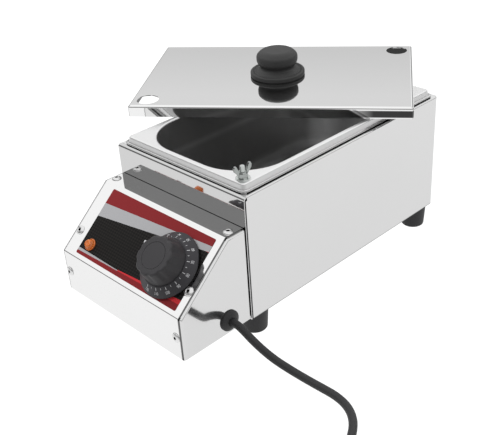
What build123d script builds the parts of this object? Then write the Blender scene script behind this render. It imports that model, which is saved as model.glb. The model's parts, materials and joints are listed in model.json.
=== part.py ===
from build123d import *
import math
import os

# Chocolate melter with a water bath. Millimetres, +X right, +Y back, +Z up, floor at z = 0.
# The pieces are modelled with x = 0 at the middle of the body and y = 0 at its front wall, and
# the whole is moved at the end so that the origin is under the middle of its box.

# Sheet metal
SHEET = 0.8
BEND = 2.0
GAP = 0.3
SLIP = 0.05

# Body
BODY_W = 176.0
BODY_L = 288.0
BODY_H = 128.0
FOOT_H = 24.0
REAR_BEND = 5.0
FRONT_FOLD = 3.5
SIDE_FOLD = 1.6
SEAM = 0.4
BASE_LIP = 14.0

# Water tank
TANK_SIDE = 8.0
TANK_FRONT = 8.5
TANK_REAR = 8.5
TANK_R = 41.0
TANK_FLOOR = 8.0
TANK_RIM = 4.0

# Pan
PAN_LIP_SIDE = 3.5
PAN_LIP_FRONT = 3.5
PAN_LIP_REAR = 3.5
PAN_LIP_R = 8.0
PAN_STEP_H = 7.5
PAN_LEDGE = 2.6
PAN_SLANT = 12.0
PAN_OPEN_SIDE = 13.0
PAN_OPEN_FRONT = 13.5
PAN_OPEN_R = 50.0
PAN_DEPTH = 100.0
PAN_TAPER = 3.0
PAN_FLOOR_R = 16.0
PAN_MOUTH_R = 2.0

# Studs, washers and wing nuts
STUD_SIDE = 16.7
STUD_END = 16.3
STUD_D = 5.0
STUD_ABOVE = 13.0
STUD_HOLE = 6.4
FLAT_WASHER_D = 13.4
FLAT_WASHER_T = 1.0
LOCK_WASHER_D = 9.4
LOCK_WASHER_T = 1.2
NUT_H = 8.7
NUT_HUB_H = 4.6
NUT_HUB_D = 9.0
NUT_SPAN = 19.0
WING_T = 2.0
FRONT_NUT_TURN = 38.0
REAR_NUT_TURN = -20.0

# Lid, lying askew on the pan and on the rear stud
LID_L = 287.0
LID_W = 176.0
LID_H = 12.0
LID_BEND = 1.4
LID_SLOT = 1.2
LID_HOLE_D = 23.0
LID_HOLE_END = 17.2
LID_HOLE_SIDE = 16.2
LID_X = -54.8
LID_Y = 194.0
LID_TURN = 36.4
LID_KNOB_R = 29.2
LID_KNOB_H = 28.4
KNOB_SCREW_D = 5.0
KNOB_SCREW_L = 18.0
KNOB_WASHER_D = 15.0
KNOB_WASHER_T = 1.0

# Control box
BOX_DEPTH = 82.0
BOX_FRONT_H = 45.0
SHELF_DEPTH = 21.5
SHELF_H = 97.5
COVER_INSET = 3.0
FLANGE = 16.0
COVER_REAR_GAP = 0.6
RELIEF_D = 3.6
LABEL_LEFT = -68.5
LABEL_RIGHT = 77.0
LABEL_LOW = 4.9
LABEL_HIGH = 75.6
LABEL_T = 0.4
LABEL_R = 1.5
RIVET_HEAD_D = 9.5
RIVET_HEAD_H = 1.9
RIVET_D = 4.8
RIVET_GRIP = 4.0
MANDREL_D = 3.0
RIVET_X = 79.5
SLOPE_RIVET_V = 25.3
SHELF_RIVET_BACK = 13.0
FRONT_RIVET_Z = 23.5

# Thermostat knob and thermostat
KNOB_X = 46.7
KNOB_V = 36.8
KNOB_LIFT = 1.8
SKIRT_R = 31.2
SKIRT_EDGE = 1.6
SKIRT_TOP = 7.8
SKIRT_T = 1.6
GRIP_R = 22.0
GRIP_TOP_R = 19.0
GRIP_TOP = 24.2
GRIP_FLUTES = 10
FLUTE_R = 9.0
FLUTE_DEPTH = 1.0
CAP_R = 12.5
CAP_T = 1.2
CAP_SINK = 0.6
SHAFT_D = 6.0
SHAFT_FLAT = 1.4
SHAFT_OUT = 20.0
THERMOSTAT = (46.0, 36.0, 20.0)
COLLAR_D = 12.0
COLLAR_L = 1.0
DIAPHRAGM_D = 28.0
DIAPHRAGM_T = 8.0
FIX_SPACING = 28.0
FIX_D = 4.0

# Pilot lamp
LAMP_X = -55.7
LAMP_V = 17.7
LENS_D = 12.0
LENS_H = 5.2
LENS_RIM = 1.2
LAMP_BODY_D = 10.0
LAMP_BODY_L = 24.0

# Heater and sensor
HEATER_D = 8.0
HEATER_X = 25.0
HEATER_LIFT = 13.0
HEATER_REACH = 250.0
HEATER_OUT = 16.0
BUSH_D = 12.0
BUSH_HEX = 16.0
BUSH_FLANGE = 4.0
BUSH_NUT = 6.0
GASKET_D = 18.0
GASKET_T = 1.5
BULB_D = 6.0
BULB_START = 62.0
BULB_L = 90.0
BRIDGE_W = 8.0
CAPILLARY_D = 1.6
GLAND_D = 7.0
GLAND_HEX = 11.0

# Wiring inside the control box
TERMINALS = (46.0, 17.0, 15.0)
TERMINAL_X = -30.0
TERMINAL_Y = -46.0
EARTH_X = 30.0
EARTH_Y = -52.0
EARTH_D = 4.0

# Feet
FOOT_TOP_R = 14.0
FOOT_LOW_R = 12.3
FOOT_SIDE = 14.2
FOOT_END = 16.7
FOOT_RECESS_R = 5.2
FOOT_RECESS = 12.0
FOOT_SCREW_D = 5.0

# Cord
CORD_D = 7.5
CORD_Y = -27.5
CORD_Z = 15.0
BUSHING_D = 20.6
BUSHING_T = 4.0
BUSHING_NECK_D = 14.0
BUSHING_NECK_L = 8.0
COIL_X = 225.0
COIL_Y = -145.0
COIL_R = 39.0
COIL_ROWS = 2
COIL_LAYERS = 3
TAIL_L = 38.0
PLUG_W = 35.0
PLUG_T = 17.0
PLUG_L = 34.0
PLUG_NECK_L = 12.0
PLUG_NECK_D = 11.0
PIN_D = 4.0
PIN_L = 19.0
PIN_PITCH = 19.0
PIN_EARTH = 3.0

# Values worked out from the sizes above
BASE = FOOT_H
TOP = FOOT_H + BODY_H
HALF = BODY_W / 2
PLATEAU = TOP + PAN_STEP_H
TANK_W = BODY_W - 2 * TANK_SIDE
PAN_LIP_W = BODY_W - 2 * PAN_LIP_SIDE
PAN_OPEN_W = BODY_W - 2 * PAN_OPEN_SIDE
SLOPE = math.atan2(SHELF_H - BOX_FRONT_H, BOX_DEPTH - SHELF_DEPTH)
SLOPE_PLANE = Plane(
    origin=(0, -BOX_DEPTH, BASE + BOX_FRONT_H),
    x_dir=(1, 0, 0),
    z_dir=(0, -math.sin(SLOPE), math.cos(SLOPE)),
)
STUDS = [(HALF - STUD_SIDE, STUD_END), (STUD_SIDE - HALF, BODY_L - STUD_END)]
HEATER_Z = BASE + TANK_FLOOR + SHEET + HEATER_LIFT
BULB_Z = HEATER_Z + HEATER_D / 2 + SHEET + BULB_D / 2
TANK_MID = (TANK_FRONT + BODY_L - TANK_REAR) / 2
TANK_L = BODY_L - TANK_FRONT - TANK_REAR
CORD_FLOOR = CORD_D / 2
COIL_H = COIL_LAYERS * CORD_D
COIL_BAND = COIL_ROWS * CORD_D


def slab(width, length, radius, low, high, mid_y):
    """Upright plate or block with round vertical corners."""
    return Pos(0, mid_y, low) * extrude(RectangleRounded(width, length, radius), high - low)


def tapered(width, length, radius, low, high, mid_y, angle):
    """The same, leaning inwards from its lower face by an angle in degrees."""
    return Pos(0, mid_y, low) * extrude(RectangleRounded(width, length, radius), high - low, taper=angle)


def on_slope(x, v, lift=0.0):
    """Place on the control box's slope: across, up the slope, and above it."""
    return SLOPE_PLANE.location * Pos(x, v, lift)


# Body sheets

def side_rear_wrap():
    """One sheet bent round the sides and the rear, folded in along its top edge."""
    front = SHEET + SEAM
    length = BODY_L - front
    plan = Pos(0, front + length / 2) * Rectangle(BODY_W, length)
    rear = plan.vertices().group_by(Axis.Y)[-1]
    block = Pos(0, 0, BASE) * extrude(fillet(rear, REAR_BEND), BODY_H)
    block = fillet(block.edges().filter_by_position(Axis.Z, TOP, TOP).sort_by(Axis.Y)[1:], SIDE_FOLD)
    inner_plan = Pos(0, front + (length - SHEET) / 2) * Rectangle(BODY_W - 2 * SHEET, length - SHEET)
    inner_rear = inner_plan.vertices().group_by(Axis.Y)[-1]
    hollow = Pos(0, 0, BASE) * extrude(fillet(inner_rear, REAR_BEND - SHEET), BODY_H - SHEET)
    mouth = Pos(0, (front + BODY_L - TANK_REAR) / 2, TOP) * Box(TANK_W, BODY_L - TANK_REAR - front, 4 * SHEET)
    notch_d = FRONT_FOLD + SEAM
    notch = Pos(0, notch_d / 2, TOP) * Box(BODY_W + 1, notch_d, 2 * notch_d)
    return block - hollow - mouth - notch


def front_wall():
    """Front sheet with its round top fold and the short flange behind the fold."""
    outline = Polyline((0, BASE), (0, TOP), (TANK_FRONT, TOP), (TANK_FRONT, BASE), close=True)
    face = make_face(outline)
    corner = face.vertices().sort_by(lambda p: p.Z - p.X)[-1]
    face = fillet(corner, FRONT_FOLD)
    inner = Pos(SHEET, -SHEET) * face
    section = Plane.YZ * (face - inner)
    wall = extrude(section, HALF, both=True)
    side_cut_y = FRONT_FOLD + SEAM / 2
    for side in (-1, 1):
        x = side * (HALF + TANK_W / 2 - SEAM) / 2
        cut = Pos(x, side_cut_y + BODY_L / 2, TOP) * Box(HALF - TANK_W / 2 + SEAM, BODY_L, 3 * SHEET)
        wall -= cut
        hole = Pos(side * HEATER_X, 0, HEATER_Z) * Rot(90, 0, 0) * Cylinder(BUSH_D / 2 + SLIP, 4)
        wall -= hole
    return wall - Pos(0, 0, BULB_Z) * Rot(90, 0, 0) * Cylinder(GLAND_D / 2 + SLIP, 4)


def foot_places():
    """Centres of the four feet under the body."""
    for side, x in (("left", FOOT_SIDE - HALF), ("right", HALF - FOOT_SIDE)):
        for end, y in (("front", FOOT_END), ("rear", BODY_L - FOOT_END)):
            yield end, side, x, y


def base_plate():
    """Bottom tray of the body, with its edges folded up inside the sheets."""
    width = BODY_W - 2 * SHEET
    length = BODY_L - 2 * SHEET
    outer = slab(width, length, REAR_BEND - SHEET, BASE, BASE + BASE_LIP, BODY_L / 2)
    outer = fillet(outer.faces().sort_by(Axis.Z)[0].edges(), BEND)
    inner = slab(width - 2 * SHEET, length - 2 * SHEET, REAR_BEND - 2 * SHEET, BASE + SHEET,
                 BASE + BASE_LIP + 1, BODY_L / 2)
    tray = outer - fillet(inner.faces().sort_by(Axis.Z)[0].edges(), BEND - SHEET)
    for _, _, x, y in foot_places():
        tray -= Pos(x, y, BASE) * Cylinder(FOOT_SCREW_D / 2 + SLIP, 4 * SHEET)
    for side in (-1, 1):
        slot = Pos(side * HEATER_X, SHEET, HEATER_Z) * Box(BUSH_HEX + 2, 4, 2 * (HEATER_Z - BASE - BASE_LIP + 4))
        tray -= slot
    return tray


def water_tank():
    """Water bath: a deep tray whose flat rim lies under the body's folds and carries the studs."""
    low = BASE + TANK_FLOOR
    rim_z = TOP - SHEET
    rim_w = BODY_W - 2 * SHEET - 2 * SLIP
    rim_front = FRONT_FOLD + SHEET
    rim_l = BODY_L - rim_front - SHEET - SLIP
    rim = slab(rim_w, rim_l, REAR_BEND, rim_z - SHEET, rim_z, rim_front + rim_l / 2)
    outer = slab(TANK_W + 2 * SHEET, TANK_L + 2 * SHEET, TANK_R + SHEET, low, rim_z, TANK_MID)
    outer = fillet(outer.faces().sort_by(Axis.Z)[0].edges(), TANK_RIM)
    inner = slab(TANK_W, TANK_L, TANK_R, low + SHEET, TOP, TANK_MID)
    inner = fillet(inner.faces().sort_by(Axis.Z)[0].edges(), TANK_RIM - SHEET)
    tank = rim + outer - inner
    for side in (-1, 1):
        tank -= Pos(side * HEATER_X, TANK_FRONT, HEATER_Z) * Rot(90, 0, 0) * Cylinder(BUSH_D / 2 + SLIP, 8)
    tank -= Pos(0, TANK_FRONT, BULB_Z) * Rot(90, 0, 0) * Cylinder(GLAND_D / 2 + SLIP, 8)
    for x, y in STUDS:
        tank -= Pos(x, y, rim_z) * Cylinder(STUD_D / 2 + SLIP, 4 * SHEET)
    return tank


def pan_studs():
    """Two bolts fixed in diagonal corners of the tank's rim, standing up through the pan."""
    studs = []
    head_z = TOP - 2 * SHEET
    for x, y in STUDS:
        length = PLATEAU + STUD_ABOVE - head_z
        shank = Pos(x, y, head_z + length / 2) * Cylinder(STUD_D / 2, length)
        shank = fillet(shank.edges().sort_by(Axis.Z)[-1], STUD_D / 2 - 0.6)
        head = Pos(x, y, head_z - 1.25) * Cylinder(4.2, 2.5)
        studs.append(shank + head)
    return studs


# Heater and sensor in the tank

def heater_element():
    """Tubular heater: a hairpin of two legs joined by a half circle at the rear."""
    y_out = -HEATER_OUT
    y_bend = HEATER_REACH - HEATER_X
    right = Line((HEATER_X, y_out, HEATER_Z), (HEATER_X, y_bend, HEATER_Z))
    turn = ThreePointArc((HEATER_X, y_bend, HEATER_Z), (0, HEATER_REACH, HEATER_Z), (-HEATER_X, y_bend, HEATER_Z))
    left = Line((-HEATER_X, y_bend, HEATER_Z), (-HEATER_X, y_out, HEATER_Z))
    path = Wire([right.edge(), turn.edge(), left.edge()])
    section = Plane(origin=(HEATER_X, y_out, HEATER_Z), z_dir=(0, 1, 0)) * Circle(HEATER_D / 2)
    return sweep(section, path=path)


def hex_prism(across, bore, low_y, high_y, x, z):
    """Hexagon fitting lying along Y."""
    body = extrude(RegularPolygon(across / 2, 6, major_radius=False) - Circle(bore / 2), high_y - low_y)
    return Pos(x, high_y, z) * Rot(90, 0, 0) * body


def heater_bushings():
    """Threaded bushings that carry the heater's legs through the tank and the front wall."""
    out = []
    inside = TANK_FRONT + GASKET_T
    for side in (-1, 1):
        x = side * HEATER_X
        tube = hex_prism(BUSH_HEX, HEATER_D + 2 * SLIP, inside, inside + BUSH_FLANGE, x, HEATER_Z)
        ring = extrude(Circle(BUSH_D / 2) - Circle(HEATER_D / 2 + SLIP), inside + BUSH_NUT + 2)
        tube += Pos(x, inside, HEATER_Z) * Rot(90, 0, 0) * ring
        out.append(tube)
    return out


def heater_gaskets():
    """Flat seals between the bushings' hexagons and the tank."""
    out = []
    for side in (-1, 1):
        ring = extrude(Circle(GASKET_D / 2) - Circle(BUSH_D / 2 + SLIP), GASKET_T)
        out.append(Pos(side * HEATER_X, TANK_FRONT + GASKET_T, HEATER_Z) * Rot(90, 0, 0) * ring)
    return out


def heater_nuts():
    """Nuts that pull the bushings tight from inside the control box."""
    return [hex_prism(BUSH_HEX, BUSH_D + 2 * SLIP, -BUSH_NUT, 0, side * HEATER_X, HEATER_Z) for side in (-1, 1)]


def bulb_bridges():
    """Two strips lying across the heater's legs, on which the sensor rests."""
    z = HEATER_Z + HEATER_D / 2 + SHEET / 2
    length = 2 * HEATER_X + HEATER_D
    return [Pos(0, BULB_START + BULB_L * share, z) * Box(length, BRIDGE_W, SHEET) for share in (0.2, 0.8)]


def sensor_bulb():
    """Thermostat's sensor, a closed tube with round ends."""
    bulb = Pos(0, BULB_START + BULB_L / 2, BULB_Z) * Rot(90, 0, 0) * Cylinder(BULB_D / 2, BULB_L)
    return fillet(bulb.edges(), BULB_D / 2 - 1)


def capillary_gland():
    """Small fitting that passes the capillary through both walls."""
    bore = CAPILLARY_D + 2 * SLIP
    tube_l = TANK_FRONT + BUSH_FLANGE + BUSH_NUT
    inside = TANK_FRONT + BUSH_FLANGE
    gland = hex_prism(GLAND_HEX, bore, TANK_FRONT, inside, 0, BULB_Z)
    gland += hex_prism(GLAND_HEX, bore, -BUSH_FLANGE, 0, 0, BULB_Z)
    ring = extrude(Circle(GLAND_D / 2) - Circle(bore / 2), tube_l)
    return gland + Pos(0, inside, BULB_Z) * Rot(90, 0, 0) * ring


def capillary():
    """Thin tube from the thermostat's diaphragm to the sensor."""
    deep = SHEET + THERMOSTAT[2] + DIAPHRAGM_T
    start = (on_slope(KNOB_X, KNOB_V, -deep)).position
    below = (on_slope(KNOB_X, KNOB_V, -deep - 16)).position
    side_y = -24.0
    points = [start, below, (KNOB_X / 2, side_y, BULB_Z + 3), (0, side_y, BULB_Z), (0, BULB_START, BULB_Z)]
    path = FilletPolyline(*points, radius=5)
    section = Plane(origin=path @ 0, z_dir=path % 0) * Circle(CAPILLARY_D / 2)
    return sweep(section, path=path)


# Control box

def box_profile(inset):
    """Side outline of the control box in the YZ plane, moved inwards by an inset."""
    points = [
        (-BOX_DEPTH, BASE),
        (-BOX_DEPTH, BASE + BOX_FRONT_H),
        (-SHELF_DEPTH, BASE + SHELF_H),
        (0, BASE + SHELF_H),
        (0, BASE),
    ]
    face = make_face(Polyline(*points, close=True))
    front = face.vertices().sort_by(Axis.X)[:3]
    face = fillet(front, BEND)
    return offset(face, -inset) if inset else face


def rivet_places():
    """Places of the cover's rivets, each on its own face of the cover."""
    front = Plane(origin=(0, -BOX_DEPTH, BASE), x_dir=(1, 0, 0), z_dir=(0, -1, 0))
    shelf = Plane(origin=(0, 0, BASE + SHELF_H), x_dir=(1, 0, 0), z_dir=(0, 0, 1))
    for side in (-1, 1):
        x = side * RIVET_X
        yield front.location * Pos(x, FRONT_RIVET_Z, 0)
        yield on_slope(x, SLOPE_RIVET_V)
        yield shelf.location * Pos(x, -SHELF_RIVET_BACK, 0)


def rivet_holes():
    """Cutters for the rivets' shanks."""
    return [place * Cylinder(RIVET_D / 2 + SLIP, 4 * RIVET_GRIP) for place in rivet_places()]


def side_plate(side):
    """Control box side: a flat plate with a flange folded in all round, slit at its bends."""
    outer = Plane.YZ * box_profile(SHEET)
    inner = Plane.YZ * box_profile(2 * SHEET)
    block = Pos(HALF - FLANGE, 0, 0) * extrude(outer, FLANGE)
    rim = block.faces().sort_by(Axis.X)[-1].edges()
    block = fillet(rim, BEND)
    hollow = Pos(HALF - FLANGE - 1, 0, 0) * extrude(inner, FLANGE + 1 - SHEET)
    hollow = fillet(hollow.faces().sort_by(Axis.X)[-1].edges(), BEND - SHEET)
    plate = block - hollow
    corners = [
        (-BOX_DEPTH + SHEET, BASE + SHEET),
        (-BOX_DEPTH + SHEET, BASE + BOX_FRONT_H),
        (-SHELF_DEPTH, BASE + SHELF_H - SHEET),
        (-SHEET, BASE + SHELF_H - SHEET),
        (-SHEET, BASE + SHEET),
    ]
    for y, z in corners:
        plate -= Pos(HALF - BEND - FLANGE / 2, y, z) * Rot(0, 90, 0) * Cylinder(RELIEF_D / 2, FLANGE)
    rear_edge = Pos(HALF - FLANGE / 2, 0, BASE + SHELF_H / 2) * Box(FLANGE + 1, 2 * SLIP, 2 * SHELF_H)
    plate -= rear_edge
    if side < 0:
        plate = mirror(plate, about=Plane.YZ)
    for hole in rivet_holes():
        plate -= hole
    if side > 0:
        plate -= Pos(HALF, CORD_Y, BASE + CORD_Z) * Rot(0, 90, 0) * Cylinder(BUSHING_NECK_D / 2 + SLIP, 8)
    return plate


def front_cover():
    """Bent cover: bottom return, front, slope and shelf in one sheet, lying on the side flanges."""
    behind = Pos(0, BASE + SHELF_H / 2 - SHEET) * Rectangle(8 * SHEET, SHELF_H)
    section = Plane.YZ * (box_profile(0) - box_profile(SHEET) - behind)
    cover = extrude(section, HALF - COVER_INSET, both=True)
    keep_low = Pos(0, -BOX_DEPTH + FLANGE / 2, BASE) * Box(BODY_W, FLANGE + 2, 4 * SHEET)
    low_cut = Pos(0, 0, BASE) * Box(BODY_W, 4 * BOX_DEPTH, 2 * SHEET + 0.02)
    cover = cover - (low_cut - keep_low)
    cover -= Pos(0, 0, BASE + SHELF_H / 2) * Box(BODY_W, 2 * COVER_REAR_GAP, 2 * SHELF_H)
    cover = Part() + cover.solids().sort_by(SortBy.VOLUME)[-1]
    for hole in rivet_holes():
        cover -= hole
    cover -= on_slope(KNOB_X, KNOB_V) * Cylinder(COLLAR_D / 2 + SLIP, 6)
    for side in (-1, 1):
        cover -= on_slope(KNOB_X, KNOB_V + side * FIX_SPACING / 2) * Cylinder(FIX_D / 2 + SLIP, 6)
    return cover - on_slope(LAMP_X, LAMP_V) * Cylinder(LAMP_BODY_D / 2 + SLIP, 6)


def cover_rivets():
    """Blind rivets: domed heads with the mandrel's hole, and shanks through cover and flange."""
    profile = make_face(
        Polyline((MANDREL_D / 2, RIVET_HEAD_H), (MANDREL_D / 2, -RIVET_GRIP), (RIVET_D / 2, -RIVET_GRIP),
                 (RIVET_D / 2, 0), (RIVET_HEAD_D / 2, 0), (RIVET_HEAD_D / 2, 0.4))
        + ThreePointArc((RIVET_HEAD_D / 2, 0.4), (RIVET_HEAD_D * 0.36, RIVET_HEAD_H * 0.76),
                        (MANDREL_D / 2, RIVET_HEAD_H))
    )
    head = revolve(Plane.XZ * profile, Axis.Z)
    plug = Pos(0, 0, -RIVET_GRIP / 2 - 0.2) * Cylinder(MANDREL_D / 2, RIVET_GRIP - 0.4)
    return [place * (head + plug) for place in rivet_places()]


def label_plate():
    """Printed label stuck on the slope, with holes for the knob's collar and the lamp."""
    width = LABEL_RIGHT - LABEL_LEFT
    height = LABEL_HIGH - LABEL_LOW
    sheet = extrude(RectangleRounded(width, height, LABEL_R), LABEL_T)
    plate = on_slope((LABEL_LEFT + LABEL_RIGHT) / 2, (LABEL_LOW + LABEL_HIGH) / 2) * sheet
    plate -= on_slope(KNOB_X, KNOB_V) * Cylinder(COLLAR_D / 2 + GAP, 6)
    for side in (-1, 1):
        plate -= on_slope(KNOB_X, KNOB_V + side * FIX_SPACING / 2) * Cylinder(FIX_D + GAP, 6)
        plate -= on_slope(side * RIVET_X, SLOPE_RIVET_V) * Cylinder(RIVET_HEAD_D / 2 + SLIP, 6)
    return plate - on_slope(LAMP_X, LAMP_V) * Cylinder(LAMP_BODY_D / 2 + SLIP, 6)


def pilot_lamp_lens():
    """Orange lens with a round rim and a cut, tapering top."""
    rim = Pos(0, 0, LENS_RIM / 2) * Cylinder(LENS_D / 2, LENS_RIM)
    top = Pos(0, 0, LENS_RIM) * extrude(RegularPolygon(LENS_D / 2 - 0.5, 10), LENS_H - LENS_RIM, taper=22)
    return on_slope(LAMP_X, LAMP_V, LABEL_T) * (rim + top)


def pilot_lamp_body():
    """Lamp housing pushed through the cover from the front, with two tags behind."""
    body = Pos(0, 0, LABEL_T - LAMP_BODY_L / 2) * Cylinder(LAMP_BODY_D / 2, LAMP_BODY_L)
    body = fillet(body.edges().sort_by(Axis.Z)[0], 1)
    for side in (-1, 1):
        body += Pos(side * 2.5, 0, LABEL_T - LAMP_BODY_L - 3.5) * Box(0.8, 4, 7)
    return on_slope(LAMP_X, LAMP_V) * body


def control_box_base():
    """Plate that closes the control box from below, lying on the side plates' lower flanges."""
    low = BASE + 2 * SHEET
    front = -BOX_DEPTH + 2 * SHEET
    rear = -2 * SHEET
    plate = Pos(0, (front + rear) / 2, low + SHEET / 2) * Box(BODY_W - 6 * BEND, rear - front - 2 * BEND, SHEET)
    plate -= Pos(EARTH_X, EARTH_Y, low) * Cylinder(EARTH_D / 2 + SLIP, 8)
    return plate


def terminal_block():
    """Three-way terminal block on the control box's base."""
    length, depth, height = TERMINALS
    block = Pos(0, 0, height / 2) * Box(length, depth, height)
    block = fillet(block.edges().filter_by(Axis.Z), 1.2)
    for step in (-1, 0, 1):
        x = step * length / 3
        block -= Pos(x, 0, height) * Cylinder(2.4, 8)
        block -= Pos(x, 0, height / 3) * Rot(90, 0, 0) * Cylinder(1.9, 2 * depth)
    return Pos(TERMINAL_X, TERMINAL_Y, BASE + 3 * SHEET) * block


def earth_stud():
    """Earth bolt through the base with its nut on top."""
    z = BASE + 3 * SHEET
    bolt = Pos(EARTH_X, EARTH_Y, z + 5) * Cylinder(EARTH_D / 2, 14)
    bolt += Pos(EARTH_X, EARTH_Y, z) * extrude(RegularPolygon(3.5, 6, major_radius=False), 3.2)
    return bolt + Pos(EARTH_X, EARTH_Y, z - SHEET - 0.35) * Cylinder(3.4, 0.7)


# Thermostat and its knob

def thermostat_body():
    """Thermostat housing under the cover, with its collar and the diaphragm cup below."""
    width, height, depth = THERMOSTAT
    body = Pos(0, 0, -SHEET - depth / 2) * Box(width, height, depth)
    body = chamfer(body.edges().filter_by(Axis.Z), 3)
    body += Pos(0, 0, (COLLAR_L - SHEET) / 2) * Cylinder(COLLAR_D / 2, COLLAR_L + SHEET)
    cup = Pos(0, 0, -SHEET - depth - DIAPHRAGM_T / 2) * Cylinder(DIAPHRAGM_D / 2, DIAPHRAGM_T)
    body += fillet(cup.edges().sort_by(Axis.Z)[0], 2)
    body -= Pos(0, 0, -SHEET - depth / 2) * Cylinder(SHAFT_D / 2 + SLIP, depth + 8)
    for side in (-1, 1):
        body -= Pos(0, side * FIX_SPACING / 2, -4) * Cylinder(FIX_D / 2 + SLIP, 10)
    return on_slope(KNOB_X, KNOB_V) * body


def thermostat_screws():
    """Two screws that hold the thermostat under the cover, hidden by the dial."""
    out = []
    for side in (-1, 1):
        head = Pos(0, 0, 0.5) * Cylinder(3.4, 1.0)
        screw = Pos(0, 0, -4) * Cylinder(FIX_D / 2, 8) + fillet(head.edges().sort_by(Axis.Z)[-1], 0.4)
        out.append(on_slope(KNOB_X, KNOB_V + side * FIX_SPACING / 2) * screw)
    return out


def thermostat_shaft():
    """Turning shaft with a flat on the end that the knob grips."""
    low = -SHEET - THERMOSTAT[2] + 2
    shaft = Pos(0, 0, (low + SHAFT_OUT) / 2) * Cylinder(SHAFT_D / 2, SHAFT_OUT - low)
    flat_low = KNOB_LIFT + SKIRT_TOP
    flat_h = SHAFT_OUT - flat_low + 1
    shaft -= Pos(0, SHAFT_D - SHAFT_FLAT, flat_low + flat_h / 2) * Box(SHAFT_D, SHAFT_D, flat_h)
    return on_slope(KNOB_X, KNOB_V) * shaft


def knob_skirt():
    """Dial: a thin conical ring that carries the numbers."""
    hub_r = GRIP_TOP_R - 4
    outline = Polyline(
        (SKIRT_R, 0), (SKIRT_R, SKIRT_EDGE), (GRIP_R + 1.2, SKIRT_TOP), (hub_r, SKIRT_TOP),
        (hub_r, SKIRT_TOP - SKIRT_T), (GRIP_R + 0.6, SKIRT_TOP - SKIRT_T), (SKIRT_R - SKIRT_T, SKIRT_EDGE - 0.8),
        (SKIRT_R - SKIRT_T, 0), close=True)
    ring = revolve(Plane.XZ * make_face(outline), Axis.Z)
    rims = ring.edges().filter_by(GeomType.CIRCLE).sort_by(SortBy.RADIUS)[-2:]
    ring = fillet(rims.sort_by(Axis.Z)[-1], 0.6)
    return on_slope(KNOB_X, KNOB_V, KNOB_LIFT) * ring


def knob_grip():
    """Finger grip: a hollow cone frustum with shallow flutes, a hub for the shaft and a seat for the cap."""
    height = GRIP_TOP - SKIRT_TOP
    lean = math.degrees(math.atan2(GRIP_R - GRIP_TOP_R, height))
    body = extrude(Circle(GRIP_R), height, taper=lean)
    for step in range(GRIP_FLUTES):
        angle = 360 / GRIP_FLUTES * (step + 0.5)
        reach = GRIP_R + FLUTE_R - FLUTE_DEPTH
        flute = Pos(reach, 0, height / 2 + 3) * Rot(0, -lean, 0) * Cylinder(FLUTE_R, height)
        body -= Rot(0, 0, angle) * flute
    body = fillet(body.faces().sort_by(Axis.Z)[-1].edges(), 1.4)
    wall = 2.4
    hollow = extrude(Circle(GRIP_TOP_R - wall), height - 3.2)
    hub = extrude(Circle(6.0), height - 3.2)
    body -= hollow - hub
    body -= Pos(0, 0, height - CAP_T - CAP_SINK) * extrude(Circle(CAP_R + SLIP), CAP_T + CAP_SINK + 1)
    seat = on_slope(KNOB_X, KNOB_V, KNOB_LIFT + SKIRT_TOP) * body
    bore_h = SHAFT_OUT - KNOB_LIFT - SKIRT_TOP
    bore = on_slope(KNOB_X, KNOB_V, KNOB_LIFT + SKIRT_TOP) * extrude(
        Circle(SHAFT_D / 2 + SLIP) - Pos(0, SHAFT_D - SHAFT_FLAT + SLIP) * Rectangle(SHAFT_D, SHAFT_D),
        bore_h + SLIP)
    return seat - bore


def knob_cap():
    """Plain round cap let into the top of the grip."""
    cap = fillet(Cylinder(CAP_R, CAP_T).edges().sort_by(Axis.Z)[-1], 0.3)
    return on_slope(KNOB_X, KNOB_V, KNOB_LIFT + GRIP_TOP - CAP_SINK - CAP_T / 2) * cap


# Pan and its fixings

def pan():
    """Pressed pan: flat lip, slanted step, flat rim and a deep bowl with round corners."""
    lip_l = BODY_L - PAN_LIP_FRONT - PAN_LIP_REAR
    mid = PAN_LIP_FRONT + lip_l / 2
    step_w = PAN_LIP_W - 2 * PAN_LEDGE
    step_l = lip_l - 2 * PAN_LEDGE
    step_r = PAN_LIP_R - PAN_LEDGE
    lip = slab(PAN_LIP_W, lip_l, PAN_LIP_R, TOP, TOP + SHEET, mid)
    step = tapered(step_w, step_l, step_r, TOP, PLATEAU, mid, PAN_SLANT)
    step = fillet(step.faces().sort_by(Axis.Z)[-1].edges(), 1.6)
    under = tapered(step_w - 2 * SHEET, step_l - 2 * SHEET, step_r - SHEET, TOP - 1, PLATEAU - SHEET, mid,
                    PAN_SLANT)
    shrink = 2 * PAN_DEPTH * math.tan(math.radians(PAN_TAPER))
    open_l = BODY_L - 2 * PAN_OPEN_FRONT
    low = PLATEAU - PAN_DEPTH
    bowl_out = extrude_down(PAN_OPEN_W + 2 * SHEET, open_l + 2 * SHEET, PAN_OPEN_R + SHEET, PLATEAU,
                            PAN_DEPTH + SHEET, BODY_L / 2)
    bowl_out = fillet(bowl_out.faces().sort_by(Axis.Z)[0].edges(), PAN_FLOOR_R + SHEET)
    bowl_in = extrude_down(PAN_OPEN_W, open_l, PAN_OPEN_R, PLATEAU, PAN_DEPTH, BODY_L / 2)
    bowl_in = fillet(bowl_in.faces().sort_by(Axis.Z)[0].edges(), PAN_FLOOR_R)
    body = (lip + step) - under + bowl_out
    ledge = body.faces().filter_by_position(Axis.Z, PLATEAU - SHEET - 0.01, PLATEAU - SHEET + 0.01)[0]
    body = fillet(ledge.inner_wires()[0].edges(), PAN_MOUTH_R - SHEET) - bowl_in
    mouth = body.faces().filter_by(Axis.Z).sort_by(Axis.Z)[-1].inner_wires()[0].edges()
    body = fillet(mouth, PAN_MOUTH_R)
    for x, y in STUDS:
        body -= Pos(x, y, PLATEAU) * Cylinder(STUD_HOLE / 2, 6)
    return body


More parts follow.
